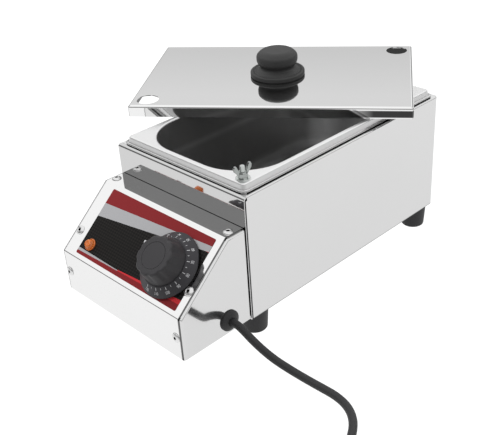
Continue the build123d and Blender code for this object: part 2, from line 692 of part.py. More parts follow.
def extrude_down(width, length, radius, high, depth, mid_y):
    """Block with round corners reaching down from its upper face and leaning inwards."""
    solid = extrude(RectangleRounded(width, length, radius), depth, taper=PAN_TAPER)
    return Pos(0, mid_y, high) * mirror(solid, about=Plane.XY)


def flat_washers():
    """Flat washers lying on the pan's rim round both studs."""
    ring = extrude(Circle(FLAT_WASHER_D / 2) - Circle(STUD_D / 2 + GAP), FLAT_WASHER_T)
    return [Pos(x, y, PLATEAU) * ring for x, y in STUDS]


def lock_washer(index, turn):
    """Split spring washer between the flat washer and the wing nut."""
    x, y = STUDS[index]
    ring = extrude(Circle(LOCK_WASHER_D / 2) - Circle(STUD_D / 2 + GAP), LOCK_WASHER_T)
    ring -= Rot(0, 0, turn) * Pos(LOCK_WASHER_D / 2, 0, LOCK_WASHER_T / 2) * Box(LOCK_WASHER_D / 2, 0.8, 4)
    return Pos(x, y, PLATEAU + FLAT_WASHER_T) * ring


def wing_nut(index, turn):
    """Wing nut: a conical hub and two wings that lean outwards."""
    x, y = STUDS[index]
    lean = math.degrees(math.atan2(NUT_HUB_D * 0.08, NUT_HUB_H))
    hub = extrude(Circle(NUT_HUB_D / 2), NUT_HUB_H, taper=lean)
    hub = fillet(hub.edges().sort_by(Axis.Z)[-1], 0.5)
    reach = NUT_SPAN / 2
    outline = Polyline(
        (STUD_D / 2 + 0.6, 1.0), (NUT_HUB_D / 2, 0.9), (reach - 0.6, NUT_H * 0.62), (reach, NUT_H * 0.84),
        (reach - 1.4, NUT_H), (reach - 3.4, NUT_H * 0.93), (STUD_D / 2 + 1.6, NUT_HUB_H), close=True)
    face = make_face(outline)
    face = fillet(face.vertices().sort_by(Axis.X)[-4:], 0.9)
    wing = extrude(Plane.XZ * face, WING_T / 2, both=True)
    nut = hub + wing + Rot(0, 0, 180) * wing
    nut -= Cylinder(STUD_D / 2 + SLIP, 4 * NUT_H)
    return Pos(x, y, PLATEAU + FLAT_WASHER_T + LOCK_WASHER_T) * Rot(0, 0, turn) * nut


# Lid

def lid_place():
    """Lid's frame: it leans on the pan's rim along its front fold and on the rear stud."""
    turn = math.radians(LID_TURN)
    along = Vector(math.cos(turn), math.sin(turn), 0)
    back = Vector(-math.sin(turn), math.cos(turn), 0)
    x, y = STUDS[1]
    reach = (Vector(x, y, 0) - Vector(LID_X, LID_Y, 0)).dot(back) + LID_W / 2
    rise = STUD_ABOVE + SLIP
    lean = math.atan2(rise, reach) - math.asin((LID_H - SHEET) / math.hypot(rise, reach))
    normal = Vector(0, 0, 1) * math.cos(lean) - back * math.sin(lean)
    z = PLATEAU + SLIP / 2 + LID_W / 2 * math.sin(lean) + LID_H * math.cos(lean)
    return Plane(origin=(LID_X, LID_Y, z), x_dir=along, z_dir=normal).location


def lid_sheet():
    """Folded lid: a flat sheet with four flanges, open at the corners, and two round holes."""
    block = Pos(0, 0, -LID_H / 2) * Box(LID_L, LID_W, LID_H)
    block = fillet(block.faces().sort_by(Axis.Z)[-1].edges(), LID_BEND)
    hollow = Pos(0, 0, -SHEET - LID_H / 2) * Box(LID_L - 2 * SHEET, LID_W - 2 * SHEET, LID_H)
    hollow = fillet(hollow.faces().sort_by(Axis.Z)[-1].edges(), LID_BEND - SHEET)
    lid = block - hollow
    for along in (-1, 1):
        for across in (-1, 1):
            slot = Box(2 * (LID_BEND + SHEET), 2 * LID_SLOT, LID_H)
            corner = Pos(along * LID_L / 2, across * (LID_W / 2 - SHEET), -LID_H / 2 - LID_BEND)
            lid -= corner * slot
        hole = Pos(along * (LID_L / 2 - LID_HOLE_END), along * (LID_W / 2 - LID_HOLE_SIDE), 0)
        lid -= hole * Cylinder(LID_HOLE_D / 2, 4 * SHEET)
    lid -= Cylinder(KNOB_SCREW_D / 2 + SLIP, 4 * SHEET)
    return lid_place() * lid


def turned(*shares):
    """Points of the lid knob's profile from shares of its radius and height."""
    return [(r * LID_KNOB_R, z * LID_KNOB_H) for r, z in shares]


def lid_knob():
    """Turned knob: a wide foot disc with a groove, a narrow neck and a mushroom head."""
    foot = Polyline(*turned((0, 0), (0.973, 0), (1, 0.035), (1, 0.12)))
    rim = ThreePointArc(*turned((1, 0.12), (0.969, 0.176), (0.904, 0.19)))
    groove = Spline(*turned((0.904, 0.19), (0.836, 0.162), (0.774, 0.197), (0.692, 0.261), (0.63, 0.36)))
    head = Spline(*turned((0.63, 0.36), (0.705, 0.472), (0.75, 0.613), (0.736, 0.76), (0.637, 0.888),
                          (0.432, 0.972), (0, 1)), tangents=[(0.2, 1), (-1, 0)])
    axis = Line((0, LID_KNOB_H), (0, 0))
    profile = Plane.XZ * make_face([*foot.edges(), rim.edge(), groove.edge(), head.edge(), axis.edge()])
    knob = revolve(profile, Axis.Z)
    knob -= extrude(Circle(KNOB_SCREW_D / 2 + SLIP), KNOB_SCREW_L - SHEET - KNOB_WASHER_T + 1)
    return lid_place() * knob


def lid_knob_washer():
    """Large washer under the lid sheet."""
    ring = extrude(Circle(KNOB_WASHER_D / 2) - Circle(KNOB_SCREW_D / 2 + SLIP), -KNOB_WASHER_T)
    return lid_place() * Pos(0, 0, -SHEET) * ring


def lid_knob_screw():
    """Screw that holds the knob from under the lid."""
    low = -SHEET - KNOB_WASHER_T
    shank = Pos(0, 0, low) * extrude(Circle(KNOB_SCREW_D / 2), KNOB_SCREW_L)
    head = Pos(0, 0, low - 1.6) * Cylinder(4.6, 3.2)
    head = fillet(head.edges().sort_by(Axis.Z)[0], 1.2)
    slot = Pos(0, 0, low - 3.2) * Box(12, 1.2, 2.4)
    return lid_place() * (shank + head - slot)


# Feet

def foot(x, y):
    """Rubber foot: a cone frustum with a rounded lower edge and a recess for its screw."""
    lean = math.degrees(math.atan2(FOOT_TOP_R - FOOT_LOW_R, FOOT_H))
    body = extrude(Circle(FOOT_LOW_R), FOOT_H, taper=-lean)
    body = fillet(body.edges().sort_by(Axis.Z)[0], 2.2)
    body -= extrude(Circle(FOOT_RECESS_R), FOOT_RECESS)
    body -= Cylinder(FOOT_SCREW_D / 2 + SLIP, 3 * FOOT_H)
    return Pos(x, y, 0) * body


def foot_screws():
    """Screws up through the feet into the base plate, each with its nut."""
    out = []
    for _, _, x, y in foot_places():
        top = FOOT_H + 9
        shank = Pos(x, y, (FOOT_RECESS + top) / 2) * Cylinder(FOOT_SCREW_D / 2, top - FOOT_RECESS)
        head = Pos(x, y, FOOT_RECESS - 1.6) * Cylinder(4.4, 3.2)
        nut = Pos(x, y, FOOT_H + SHEET) * extrude(RegularPolygon(4.0, 6, major_radius=False), 4)
        out.append(shank + fillet(head.edges().sort_by(Axis.Z)[0], 0.8) + nut)
    return out


# Cord

def cord_bushing():
    """Cord bush: a domed flange outside the side plate, a neck through it and a rim inside."""
    bore = CORD_D / 2 + SLIP
    flange = extrude(Circle(BUSHING_D / 2), BUSHING_T)
    flange = fillet(flange.edges().sort_by(Axis.Z)[-1], BUSHING_T * 0.7)
    neck = Pos(0, 0, -BUSHING_NECK_L) * extrude(Circle(BUSHING_NECK_D / 2), BUSHING_NECK_L)
    inner = Pos(0, 0, -SHEET - 3) * extrude(Circle(BUSHING_NECK_D / 2 + 1.6), 3)
    bush = flange + neck + inner - Pos(0, 0, -BUSHING_NECK_L) * extrude(Circle(bore), 3 * BUSHING_NECK_L)
    return Pos(HALF, CORD_Y, BASE + CORD_Z) * Rot(0, 90, 0) * bush


# Route of the cord from the bush to the coil, chosen by hand
ROUTE = [
    (82.0, CORD_Y, BASE + CORD_Z),
    (101.0, CORD_Y, BASE + CORD_Z),
    (118.0, -26.3, 28.6),
    (132.5, -19.8, 15.0),
    (150.0, -13.8, 6.6),
    (172.0, -11.2, CORD_FLOOR),
    (205.0, -10.0, CORD_FLOOR),
    (227.0, -21.5, CORD_FLOOR),
    (241.5, -45.0, CORD_FLOOR),
    (254.0, -75.0, CORD_FLOOR),
    (265.0, -107.0, CORD_FLOOR),
    (267.7, -140.0, CORD_FLOOR),
]


def route_radii(points):
    """Largest arc that each corner of the route leaves room for."""
    radii = []
    for before, corner, after in zip(points, points[1:], points[2:]):
        first = Vector(*corner) - Vector(*before)
        second = Vector(*after) - Vector(*corner)
        half_turn = math.radians(first.get_angle(second)) / 2
        radii.append(0.45 * min(first.length, second.length) / math.tan(half_turn))
    return radii


def power_cord():
    """Stretch of the cord from the bush down to the table and along it to the coil."""
    radii = route_radii(ROUTE)
    path = FilletPolyline(*ROUTE, radius=radii)
    section = Plane(origin=path @ 0, z_dir=path % 0) * Circle(CORD_D / 2)
    tube = sweep(section, path=path)
    print("cord radii", [round(r, 1) for r in radii], "length", round(path.length, 1),
          "volume share", round(tube.volume / (path.length * math.pi * CORD_D ** 2 / 4), 4))
    return tube


def cord_coil():
    """Outer shape of the cord wound into a round coil."""
    ring = Pos(COIL_R, COIL_H / 2) * RectangleRounded(COIL_BAND, COIL_H, CORD_D / 2 - 0.1)
    coil = Pos(COIL_X, COIL_Y, 0) * revolve(Plane.XZ * ring, Axis.Z)
    return coil - power_cord() - cord_tail()


def plug_place():
    """Plug's frame: its back end, with +Z towards the pins."""
    y = COIL_Y - COIL_R - CORD_D / 2
    return Plane(origin=(COIL_X - TAIL_L, y, PLUG_T / 2), x_dir=(0, 1, 0), z_dir=(-1, 0, 0)).location


def cord_tail():
    """Last stretch of the cord, from the coil to the plug."""
    return plug_place() * Pos(0, 0, -TAIL_L) * extrude(Circle(CORD_D / 2), TAIL_L)


def plug_body():
    """Plug: a round neck, shoulders and a flat six-sided body."""
    neck = Circle(PLUG_NECK_D / 2)
    flank = PLUG_T / 2
    outline = Polyline((-PLUG_W / 2, 0), (-PLUG_W / 2 + flank, flank), (PLUG_W / 2 - flank, flank), (PLUG_W / 2, 0),
                       (PLUG_W / 2 - flank, -flank), (flank - PLUG_W / 2, -flank), close=True)
    six = fillet(make_face(outline).vertices(), 2)
    shoulder = loft([Pos(0, 0, PLUG_NECK_L) * neck, Pos(0, 0, PLUG_NECK_L + 10) * six])
    body = extrude(neck, PLUG_NECK_L) + shoulder
    body += Pos(0, 0, PLUG_NECK_L + 10) * extrude(six, PLUG_L - 10)
    for x, y in pin_places():
        body -= Pos(x, y, PLUG_NECK_L + PLUG_L) * Cylinder(PIN_D / 2 + SLIP, 20)
    return plug_place() * body


def pin_places():
    """Two line pins and the earth pin between them, set off to one side."""
    return [(-PIN_PITCH / 2, 0), (0, PIN_EARTH), (PIN_PITCH / 2, 0)]


def plug_pins():
    """Round pins with rounded tips, set into the plug."""
    out = []
    for x, y in pin_places():
        pin = Cylinder(PIN_D / 2, PIN_L + 10)
        pin = fillet(pin.edges().sort_by(Axis.Z)[-1], 1.2)
        out.append(plug_place() * Pos(x, y, PLUG_NECK_L + PLUG_L + PIN_L / 2 - 5) * pin)
    return out


def nodes():
    """Every piece of the melter by name."""
    pieces = {
        "side_rear_wrap": side_rear_wrap(),
        "front_wall": front_wall(),
        "base_plate": base_plate(),
        "water_tank": water_tank(),
        "pan_studs": pan_studs(),
        "heater_element": heater_element(),
        "heater_bushings": heater_bushings(),
        "heater_gaskets": heater_gaskets(),
        "heater_nuts": heater_nuts(),
        "bulb_bridges": bulb_bridges(),
        "sensor_bulb": sensor_bulb(),
        "capillary_gland": capillary_gland(),
        "capillary": capillary(),
        "left_side_plate": side_plate(-1),
        "right_side_plate": side_plate(1),
        "front_cover": front_cover(),
        "cover_rivets": cover_rivets(),
        "label_plate": label_plate(),
        "pilot_lamp_lens": pilot_lamp_lens(),
        "pilot_lamp_body": pilot_lamp_body(),
        "control_box_base": control_box_base(),
        "terminal_block": terminal_block(),
        "earth_stud": earth_stud(),
        "thermostat_body": thermostat_body(),
        "thermostat_screws": thermostat_screws(),
        "thermostat_shaft": thermostat_shaft(),
        "knob_skirt": knob_skirt(),
        "knob_grip": knob_grip(),
        "knob_cap": knob_cap(),
        "pan": pan(),
        "flat_washers": flat_washers(),
        "lock_washer_front": lock_washer(0, 10),
        "wing_nut_front": wing_nut(0, FRONT_NUT_TURN),
        "lock_washer_rear": lock_washer(1, 200),
        "wing_nut_rear": wing_nut(1, REAR_NUT_TURN),
        "lid_sheet": lid_sheet(),
        "lid_knob": lid_knob(),
        "lid_knob_washer": lid_knob_washer(),
        "lid_knob_screw": lid_knob_screw(),
        "foot_screws": foot_screws(),
        "cord_bushing": cord_bushing(),
    }
    for end, side, x, y in foot_places():
        pieces[f"foot_{end}_{side}"] = foot(x, y)
    return pieces


def cord_nodes():
    """The free cord and what is on it."""
    return {
        "power_cord": power_cord(),
        "cord_coil": cord_coil(),
        "cord_tail": cord_tail(),
        "plug_body": plug_body(),
        "plug_pins": plug_pins(),
    }


def as_one(piece):
    """A node as one shape, whether it is one solid or a group."""
    solids = piece if isinstance(piece, list) else [piece]
    return Compound([solid for part in solids for solid in part.solids()])


def main():
    """Build every piece, move the origin under the middle of the box, and write the files."""
    os.makedirs("parts", exist_ok=True)
    melter = {name: as_one(piece) for name, piece in nodes().items()}
    box = Compound([solid for shape in melter.values() for solid in shape.solids()]).bounding_box()
    shift = Vector((box.min.X + box.max.X) / 2, (box.min.Y + box.max.Y) / 2, 0)
    print("origin at bench", shift, "box", box.size)
    melter.update({name: as_one(piece) for name, piece in cord_nodes().items()})
    for name, shape in melter.items():
        export_step(Pos(-shift.X, -shift.Y, 0) * shape, f"parts/{name}.step")


main()
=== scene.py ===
import bpy
import bmesh
import json
import math
from mathutils import Matrix, Vector

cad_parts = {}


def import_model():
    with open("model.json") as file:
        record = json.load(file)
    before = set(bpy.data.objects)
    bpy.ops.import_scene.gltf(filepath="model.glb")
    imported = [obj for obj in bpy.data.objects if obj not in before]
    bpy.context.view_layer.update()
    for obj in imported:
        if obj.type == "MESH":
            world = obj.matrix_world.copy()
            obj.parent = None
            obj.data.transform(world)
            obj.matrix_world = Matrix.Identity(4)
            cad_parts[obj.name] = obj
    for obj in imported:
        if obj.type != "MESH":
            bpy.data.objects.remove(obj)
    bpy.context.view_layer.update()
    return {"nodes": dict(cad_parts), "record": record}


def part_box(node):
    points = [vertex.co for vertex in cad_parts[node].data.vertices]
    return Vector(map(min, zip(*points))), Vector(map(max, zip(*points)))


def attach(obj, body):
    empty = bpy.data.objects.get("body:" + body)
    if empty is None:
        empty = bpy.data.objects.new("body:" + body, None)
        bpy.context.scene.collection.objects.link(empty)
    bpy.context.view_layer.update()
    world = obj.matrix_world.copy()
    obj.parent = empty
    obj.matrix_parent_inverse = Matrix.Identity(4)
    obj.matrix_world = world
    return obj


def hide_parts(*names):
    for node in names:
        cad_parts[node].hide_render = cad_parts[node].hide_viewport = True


# Looks of the chocolate melter. Lengths are in millimetres in the part's own bench frame:
# x = 0 at the middle of the body, y = 0 at its front wall, z = 0 on the table.

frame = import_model()
NODE_SLOT = {p["node"]: p["material_slot"] for p in frame["record"]["subparts"]}
NODE_BODY = {n: b for b, ns in frame["record"]["behaviour"]["bodies"].items() for n in ns}

# Body and control box
HALF = 88.0
BODY_L = 288.0
BASE = 24.0
TOP = 152.0
SHEET = 0.8
BOX_DEPTH = 82.0
BOX_FRONT_H = 45.0
SHELF_DEPTH = 21.5
SHELF_H = 97.5

# Pan, its studs and nuts
PLATEAU = 159.5
LIP_W, LIP_L, LIP_R = 169.0, 281.0, 8.0
MOUTH_W, MOUTH_L, MOUTH_R = 150.0, 261.0, 50.0
PAN_DEPTH = 100.0
PAN_TAPER = math.radians(3.0)
STUDS = ((71.3, 16.3), (-71.3, 271.7))
STUD_ABOVE = 13.0
THREAD_PITCH = 0.8
NUT_SEAT = PLATEAU + 2.3
FRONT_NUT_TURN = math.radians(81.0)

# Lid
LID_L, LID_W, LID_H = 287.0, 176.0, 12.0
LID_X, LID_Y, LID_TURN = -54.8, 194.0, math.radians(36.4)
LID_REST = 13.05
LID_GAP = 0.025
LID_BEND, LID_SLIT = 2.6, 0.9
LID_HOLE_R, LID_HOLE_END, LID_HOLE_SIDE = 11.5, 17.2, 16.2

# Label, lamp, knob and rivets, on the slope
LABEL_LEFT, LABEL_LOW = -68.5, 4.9
LABEL_W, LABEL_H = 145.5, 70.7
LABEL_T = 0.4
LAMP_AT = (-55.7, 17.7)
KNOB_AT = (46.7, 36.8)
KNOB_LIFT = 1.8
SKIRT_R, SKIRT_INNER_R = 31.2, 23.2
SKIRT_EDGE, SKIRT_TOP = 1.6, 7.8
DIAL_START, DIAL_SWEEP = 124.0, 224.0
DIAL_NUMBERS = range(30, 121, 10)
NUMBER_R, NUMBER_SIZE = 28.0, 3.1
FLUTES, FLUTE_DEPTH = 10, 1.15
INDEX_R, INDEX_ANGLE = 43.0, math.radians(169)
RIVET_X = 79.5
RIVET_FRONT_Z, RIVET_SLOPE_V, RIVET_SHELF_Y = 23.5, 25.3, -13.0

# Feet and cord
FOOT_IN = (14.2, 16.7)
CORD_D = 7.5
CORD_Y, CORD_Z = -27.5, 39.0

front_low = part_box("front_wall")[0]
SHIFT = Vector((front_low.x + HALF / 1000, front_low.y, 0))
BENCH = Matrix.Translation(SHIFT) @ Matrix.Scale(0.001, 4)


# Places

def placed(origin, x_dir, z_dir):
    """Matrix from a local frame in millimetres to the row frame."""
    z = Vector(z_dir).normalized()
    x = Vector(x_dir)
    x = (x - z * x.dot(z)).normalized()
    y = z.cross(x)
    turn = Matrix((x, y, z)).transposed().to_4x4()
    return BENCH @ Matrix.Translation(origin) @ turn


def point(x, y, z):
    """A bench point in the row frame."""
    return BENCH @ Vector((x, y, z))


SLOPE_ANGLE = math.atan2(SHELF_H - BOX_FRONT_H, BOX_DEPTH - SHELF_DEPTH)
SLOPE_N = Vector((0, -math.sin(SLOPE_ANGLE), math.cos(SLOPE_ANGLE)))
SLOPE = placed((0, -BOX_DEPTH, BASE + BOX_FRONT_H), (1, 0, 0), SLOPE_N)


def lid_frame():
    """The lid's frame, as the part works it out."""
    along = Vector((math.cos(LID_TURN), math.sin(LID_TURN), 0))
    back = Vector((-math.sin(LID_TURN), math.cos(LID_TURN), 0))
    reach = (Vector((*STUDS[1], 0)) - Vector((LID_X, LID_Y, 0))).dot(back) + LID_W / 2
    lean = math.atan2(LID_REST, reach) - math.asin((LID_H - SHEET) / math.hypot(LID_REST, reach))
    normal = Vector((0, 0, 1)) * math.cos(lean) - back * math.sin(lean)
    z = PLATEAU + LID_GAP + LID_W / 2 * math.sin(lean) + LID_H * math.cos(lean)
    return placed((LID_X, LID_Y, z), along, normal)


LID = lid_frame()


# Shader helpers

class Value:
    """A shader socket that takes arithmetic."""

    def __init__(self, tree, out):
        self.tree = tree
        self.out = out

    def node(self, kind, *inputs, out=0, **settings):
        """A new node with its settings, then the values or links of its sockets in order."""
        made = self.tree.nodes.new(kind)
        for key, value in settings.items():
            setattr(made, key, value)
        for index, value in enumerate(inputs):
            if isinstance(value, Value):
                self.tree.links.new(value.out, made.inputs[index])
            elif value is not None:
                made.inputs[index].default_value = value
        return Value(self.tree, made.outputs[out])

    def math(self, operation, *others, clamp=False):
        return self.node("ShaderNodeMath", self, *others, operation=operation, use_clamp=clamp)

    def __add__(self, other):
        return self.math("ADD", other)

    def __sub__(self, other):
        return self.math("SUBTRACT", other)

    def __mul__(self, other):
        return self.math("MULTIPLY", other)

    def __truediv__(self, other):
        return self.math("DIVIDE", other)

    def __rsub__(self, other):
        return self.math("MULTIPLY", -1.0) + other

    def __neg__(self):
        return self.math("MULTIPLY", -1.0)

    def above(self, other, soft=0.0):
        """1 where this is larger than other, with a soft edge if asked."""
        if not soft:
            return self.math("GREATER_THAN", other)
        return ((self - other) / soft + 0.5).math("ADD", 0.0, clamp=True)

    def mix(self, low, high):
        """Colour mix of low and high by this factor."""
        skipped = [None] * 5
        return self.node("ShaderNodeMix", self, *skipped, low, high, out=2, data_type="RGBA")

    __radd__ = __add__
    __rmul__ = __mul__


def grey(value):
    return (value, value, value, 1)


def srgb(text):
    """Linear colour of a display colour written as six digits."""
    parts = [int(text[i:i + 2], 16) / 255 for i in (0, 2, 4)]
    return tuple(c / 12.92 if c <= 0.04045 else ((c + 0.055) / 1.055) ** 2.4 for c in parts) + (1,)


def material(name, **constants):
    """Principled material with constant sockets; returns it with a first value and a setter."""
    made = bpy.data.materials.new(name)
    made.use_nodes = True
    tree = made.node_tree
    shader = tree.nodes["Principled BSDF"]
    for key, value in constants.items():
        shader.inputs[key.replace("_", " ")].default_value = value
    coords = tree.nodes.new("ShaderNodeTexCoord")
    here = Value(tree, coords.outputs["Object"])

    def drive(socket, value):
        tree.links.new(value.out, shader.inputs[socket])

    return made, here, drive


def noise(here, scale, detail=3.0, rough=0.5):
    """Cloudy value from 0 to 1 with so many waves for each metre."""
    return here.node("ShaderNodeTexNoise", here, None, scale, detail, rough)


def bump(here, height, distance, strength):
    """Normal that follows a height, with its depth in metres."""
    made = here.tree.nodes.new("ShaderNodeBump")
    made.inputs["Strength"].default_value = strength
    made.inputs["Distance"].default_value = distance
    here.tree.links.new(height.out, made.inputs["Height"])
    return Value(here.tree, made.outputs[0])


def local(here, place):
    """The place's own x, y and z in millimetres."""
    rows = place.inverted()[:3]
    return [here.node("ShaderNodeVectorMath", here, tuple(row[:3]), operation="DOT_PRODUCT", out=1) + row[3]
            for row in rows]


def wrap_edges(here):
    """Painted shade at the front corner bends, at the rear corner bends and along the lower edge of the
    body.
    """
    x, y, z = local(here, BENCH)
    side = x.math("ABSOLUTE").above(HALF - 1.8)
    front = side * (1.0 - y.above(2.3, 0.5))
    rear = side * y.above(BODY_L - 1.0, 0.3) * 0.8
    low = (1.0 - z.above(BASE + 0.7)) * 0.6
    return (front + rear + low).math("ADD", 0.0, clamp=True)


def plate_edges(here):
    """Painted shade along the lower edge of the control box's side plates, and at their rear edge in the
    gap to the body.
    """
    y, z = local(here, BENCH)[1:]
    low = (1.0 - z.above(BASE + 0.6)) * 0.6
    return (low + y.above(-1.6, 0.4)).math("ADD", 0.0, clamp=True)


def cover_edges(here):
    """Painted shadow line along the cut side edge of the bent cover, where it meets the side plates' bends.
    """
    x = local(here, BENCH)[0]
    side = (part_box("front_cover")[1].x - SHIFT.x) * 1000
    return x.math("ABSOLUTE").above(side - 0.7) * 0.85


def steel(name, tone, rough, painted_shade=None):
    """Mirror-polished sheet: faint waves, fine polishing haze and a little uneven gloss, with painted shade
    laid over it where a mask is given.
    """
    made, here, drive = material(name, Metallic=1.0)
    haze = noise(here, 9.0, 4.0, 0.6)
    fine = noise(here.node("ShaderNodeMapping", here, None, None, (1.0, 14.0, 14.0)), 60.0, 3.0)
    colour = haze.mix(grey(tone * 0.97), grey(tone))
    # Painted shade: the mask darkens the sheet towards near black
    if painted_shade:
        colour = painted_shade(here).mix(colour, grey(0.04))
    drive("Base Color", colour)
    drive("Roughness", haze * (rough * 0.6) + fine * (rough * 0.3) + rough * 0.55)
    drive("Normal", bump(here, noise(here, 7.0, 1.0), 0.0016, 0.02))
    return made


def attribute(here, name):
    """A mesh attribute's value."""
    made = here.tree.nodes.new("ShaderNodeAttribute")
    made.attribute_name = name
    return Value(here.tree, made.outputs["Fac"])


def parts(vector):
    """The three parts of a vector."""
    split = vector.tree.nodes.new("ShaderNodeSeparateXYZ")
    vector.tree.links.new(vector.out, split.inputs[0])
    return [Value(vector.tree, socket) for socket in split.outputs]


def lid_material():
    """Polished lid with painted light: painted darker to the rear, a painted highlight along its folds,
    painted shade inside and a painted dark reflection on part of the front flange.
    """
    made, here, drive = material("lid_steel", Metallic=1.0)
    x, y, z = local(here, LID)
    haze = noise(here, 9.0, 4.0, 0.6)
    # Painted light: the top is painted darker towards the rear
    top = ((y + 60.0) / 130.0).math("ADD", 0.0, clamp=True).mix(grey(0.70), grey(0.58))
    outer = (y.math("ABSOLUTE") - LID_W / 2).math("MAXIMUM", x.math("ABSOLUTE") - LID_L / 2)
    # Painted highlight along the lid's rounded folds
    painted_bend_highlight = outer.above(0.1 - LID_BEND, 0.3)
    colour = painted_bend_highlight.mix(top, grey(0.98))
    # Painted shade on the inner face of the flanges
    inside = outer.above(-1.0) * (1.0 - outer.above(-0.4)) * (1.0 - z.above(-2.8))
    colour = inside.mix(colour, grey(0.06))
    # Painted dark reflection on part of the front flange, growing towards its +x end
    front = 1.0 - y.above(1.0 - LID_W / 2)
    middle = (1.0 - z.above(-3.6, 0.8)) * z.above(1.2 - LID_H, 0.8)
    painted_flange_reflection = x.above(80.0, 50.0) * front * middle
    drive("Base Color", painted_flange_reflection.mix(colour, grey(0.05)))
    drive("Roughness", haze * 0.03 + 0.03)
    return made


def pan_material():
    """Polished rim above a duller step painted a darker grey, with painted shadow under the lip; the bowl
    is painted darker as a reflection, with soft painted highlight bands and painted streaks to the rear.
    """
    made, here, drive = material("pan_steel", Metallic=1.0)
    deep = attribute(here, "deep")
    haze = noise(here, 9.0, 4.0, 0.6)
    x, y, z = local(here, BENCH)
    # Painted light in the bowl: painted darker as a reflection, with painted highlight bands at two heights
    # and painted reflected streaks towards the rear
    bowl = haze * 0.05 + 0.46
    for height, half, gain in ((125.0, 5.0, 0.16), (71.0, 8.0, 0.14)):
        away = ((z - height) / half).math("ABSOLUTE")
        bowl = bowl + (1.0 - away).math("ADD", 0.0, clamp=True) * gain
    rear = ((y - 175.0) / 80.0).math("ADD", 0.0, clamp=True)
    stripes = noise(here.node("ShaderNodeMapping", here, None, None, (40.0, 12.0, 1.0)), 1.0, 1.0)
    bowl = bowl + rear * rear * stripes * 0.5
    shade = bowl.node("ShaderNodeCombineColor", bowl, bowl, bowl)
    # Painted shade: below the rim the step and lip are painted a darker grey than the rim of the same sheet
    rim = z.above(PLATEAU - 0.6, 0.4).mix(grey(0.80), grey(0.97))
    # Painted shadow: the lip's edge below its top is painted almost black
    past_side = x.math("ABSOLUTE") - (LIP_W / 2 - 1.1)
    past_end = (y - BODY_L / 2).math("ABSOLUTE") - (LIP_L / 2 - 1.1)
    under = past_side.math("MAXIMUM", past_end).above(0.0) * (1.0 - z.above(TOP + 1.1))
    drive("Base Color", under.mix(deep.mix(rim, shade), grey(0.02)))
    step = z.above(TOP + 1.8, 0.4) * (1.0 - deep)
    drive("Roughness", haze * 0.06 + deep * 0.22 + step * 0.2 + 0.12)
    return made


def plain_metal(name, colour, rough, grain=400.0, shade=None):
    """Fastener or tube metal with fine spots; the attribute named by shade paints shade into it."""
    made, here, drive = material(name, Metallic=1.0)
    spots = noise(here, grain, 3.0)
    dark = tuple(c * 0.82 for c in colour[:3]) + (1,)
    tone = spots.mix(dark, colour)
    if shade:
        tone = attribute(here, shade).mix(tone, grey(0.02))
    drive("Base Color", tone)
    drive("Roughness", spots * 0.18 + (rough - 0.09))
    drive("Normal", bump(here, spots, 0.0001, 0.25))
    return made


def plastic(name, colour, rough, grain=900.0):
    """Moulded plastic or rubber with a cloudy tone and a fine grain."""
    made, here, drive = material(name, Specular_IOR_Level=0.35)
    cloud = noise(here, 24.0, 3.0)
    fine = noise(here, grain, 2.0)
    low = tuple(c * 0.8 for c in colour[:3]) + (1,)
    high = tuple(c * 1.2 for c in colour[:3]) + (1,)
    drive("Base Color", cloud.mix(low, high))
    drive("Roughness", cloud * 0.12 + (rough - 0.06))
    drive("Normal", bump(here, fine, 0.00004, 0.5))
    return made


def label_material():
    """Printed film: dark-red bands, a light wedge, bright stripes and a field of small dark cells."""
    made, here, drive = material("label", Specular_IOR_Level=0.12)
    place = here.node("ShaderNodeUVMap", uv_map="flat")
    u, v = parts(place)[:2]
    scaled = place.node("ShaderNodeVectorMath", place, (46.0, 26.0, 1.0), operation="MULTIPLY")
    cells = place.node("ShaderNodeTexVoronoi", scaled, None, 1.0, None, None, None, None, None, 0.0)
    field = cells.math("MULTIPLY", 1.5, clamp=True).mix(srgb("22201e"), srgb("040405"))
    red = srgb("6e1d20")
    bright = srgb("a8282d")
    silver = srgb("8e8e90")
    top_red = v.above(u * 0.125 + 0.775)
    top_silver = v.above(u * 0.245 + 0.575)
    top_bright = v.above(u * 0.1 + 0.715) * u.above(0.44)
    low_dark = 1.0 - v.above(u * 0.045 + 0.045)
    low_silver = 1.0 - v.above(u * -0.03 + 0.085)
    low_bright = (1.0 - v.above(u * 0.12 + 0.028)) * u.above(0.42)
    colour = low_silver.mix(field, silver)
    colour = low_bright.mix(colour, bright)
    colour = low_dark.mix(colour, red)
    colour = top_bright.mix(colour, bright)
    colour = top_silver.mix(colour, silver)
    colour = top_red.mix(colour, red)
    drive("Base Color", colour)
    drive("Roughness", noise(here, 30.0) * 0.1 + 0.4)
    return made


def lens_material():
    """Orange moulded lens that glows faintly."""
    made, here, drive = material("orange_lens", Transmission_Weight=0.35, IOR=1.55, Roughness=0.12)
    drive("Base Color", noise(here, 300.0).mix(srgb("a8501c"), srgb("d07a34")))
    shader = here.tree.nodes["Principled BSDF"]
    shader.inputs["Emission Color"].default_value = srgb("d86a28")
    shader.inputs["Emission Strength"].default_value = 0.12
    return made


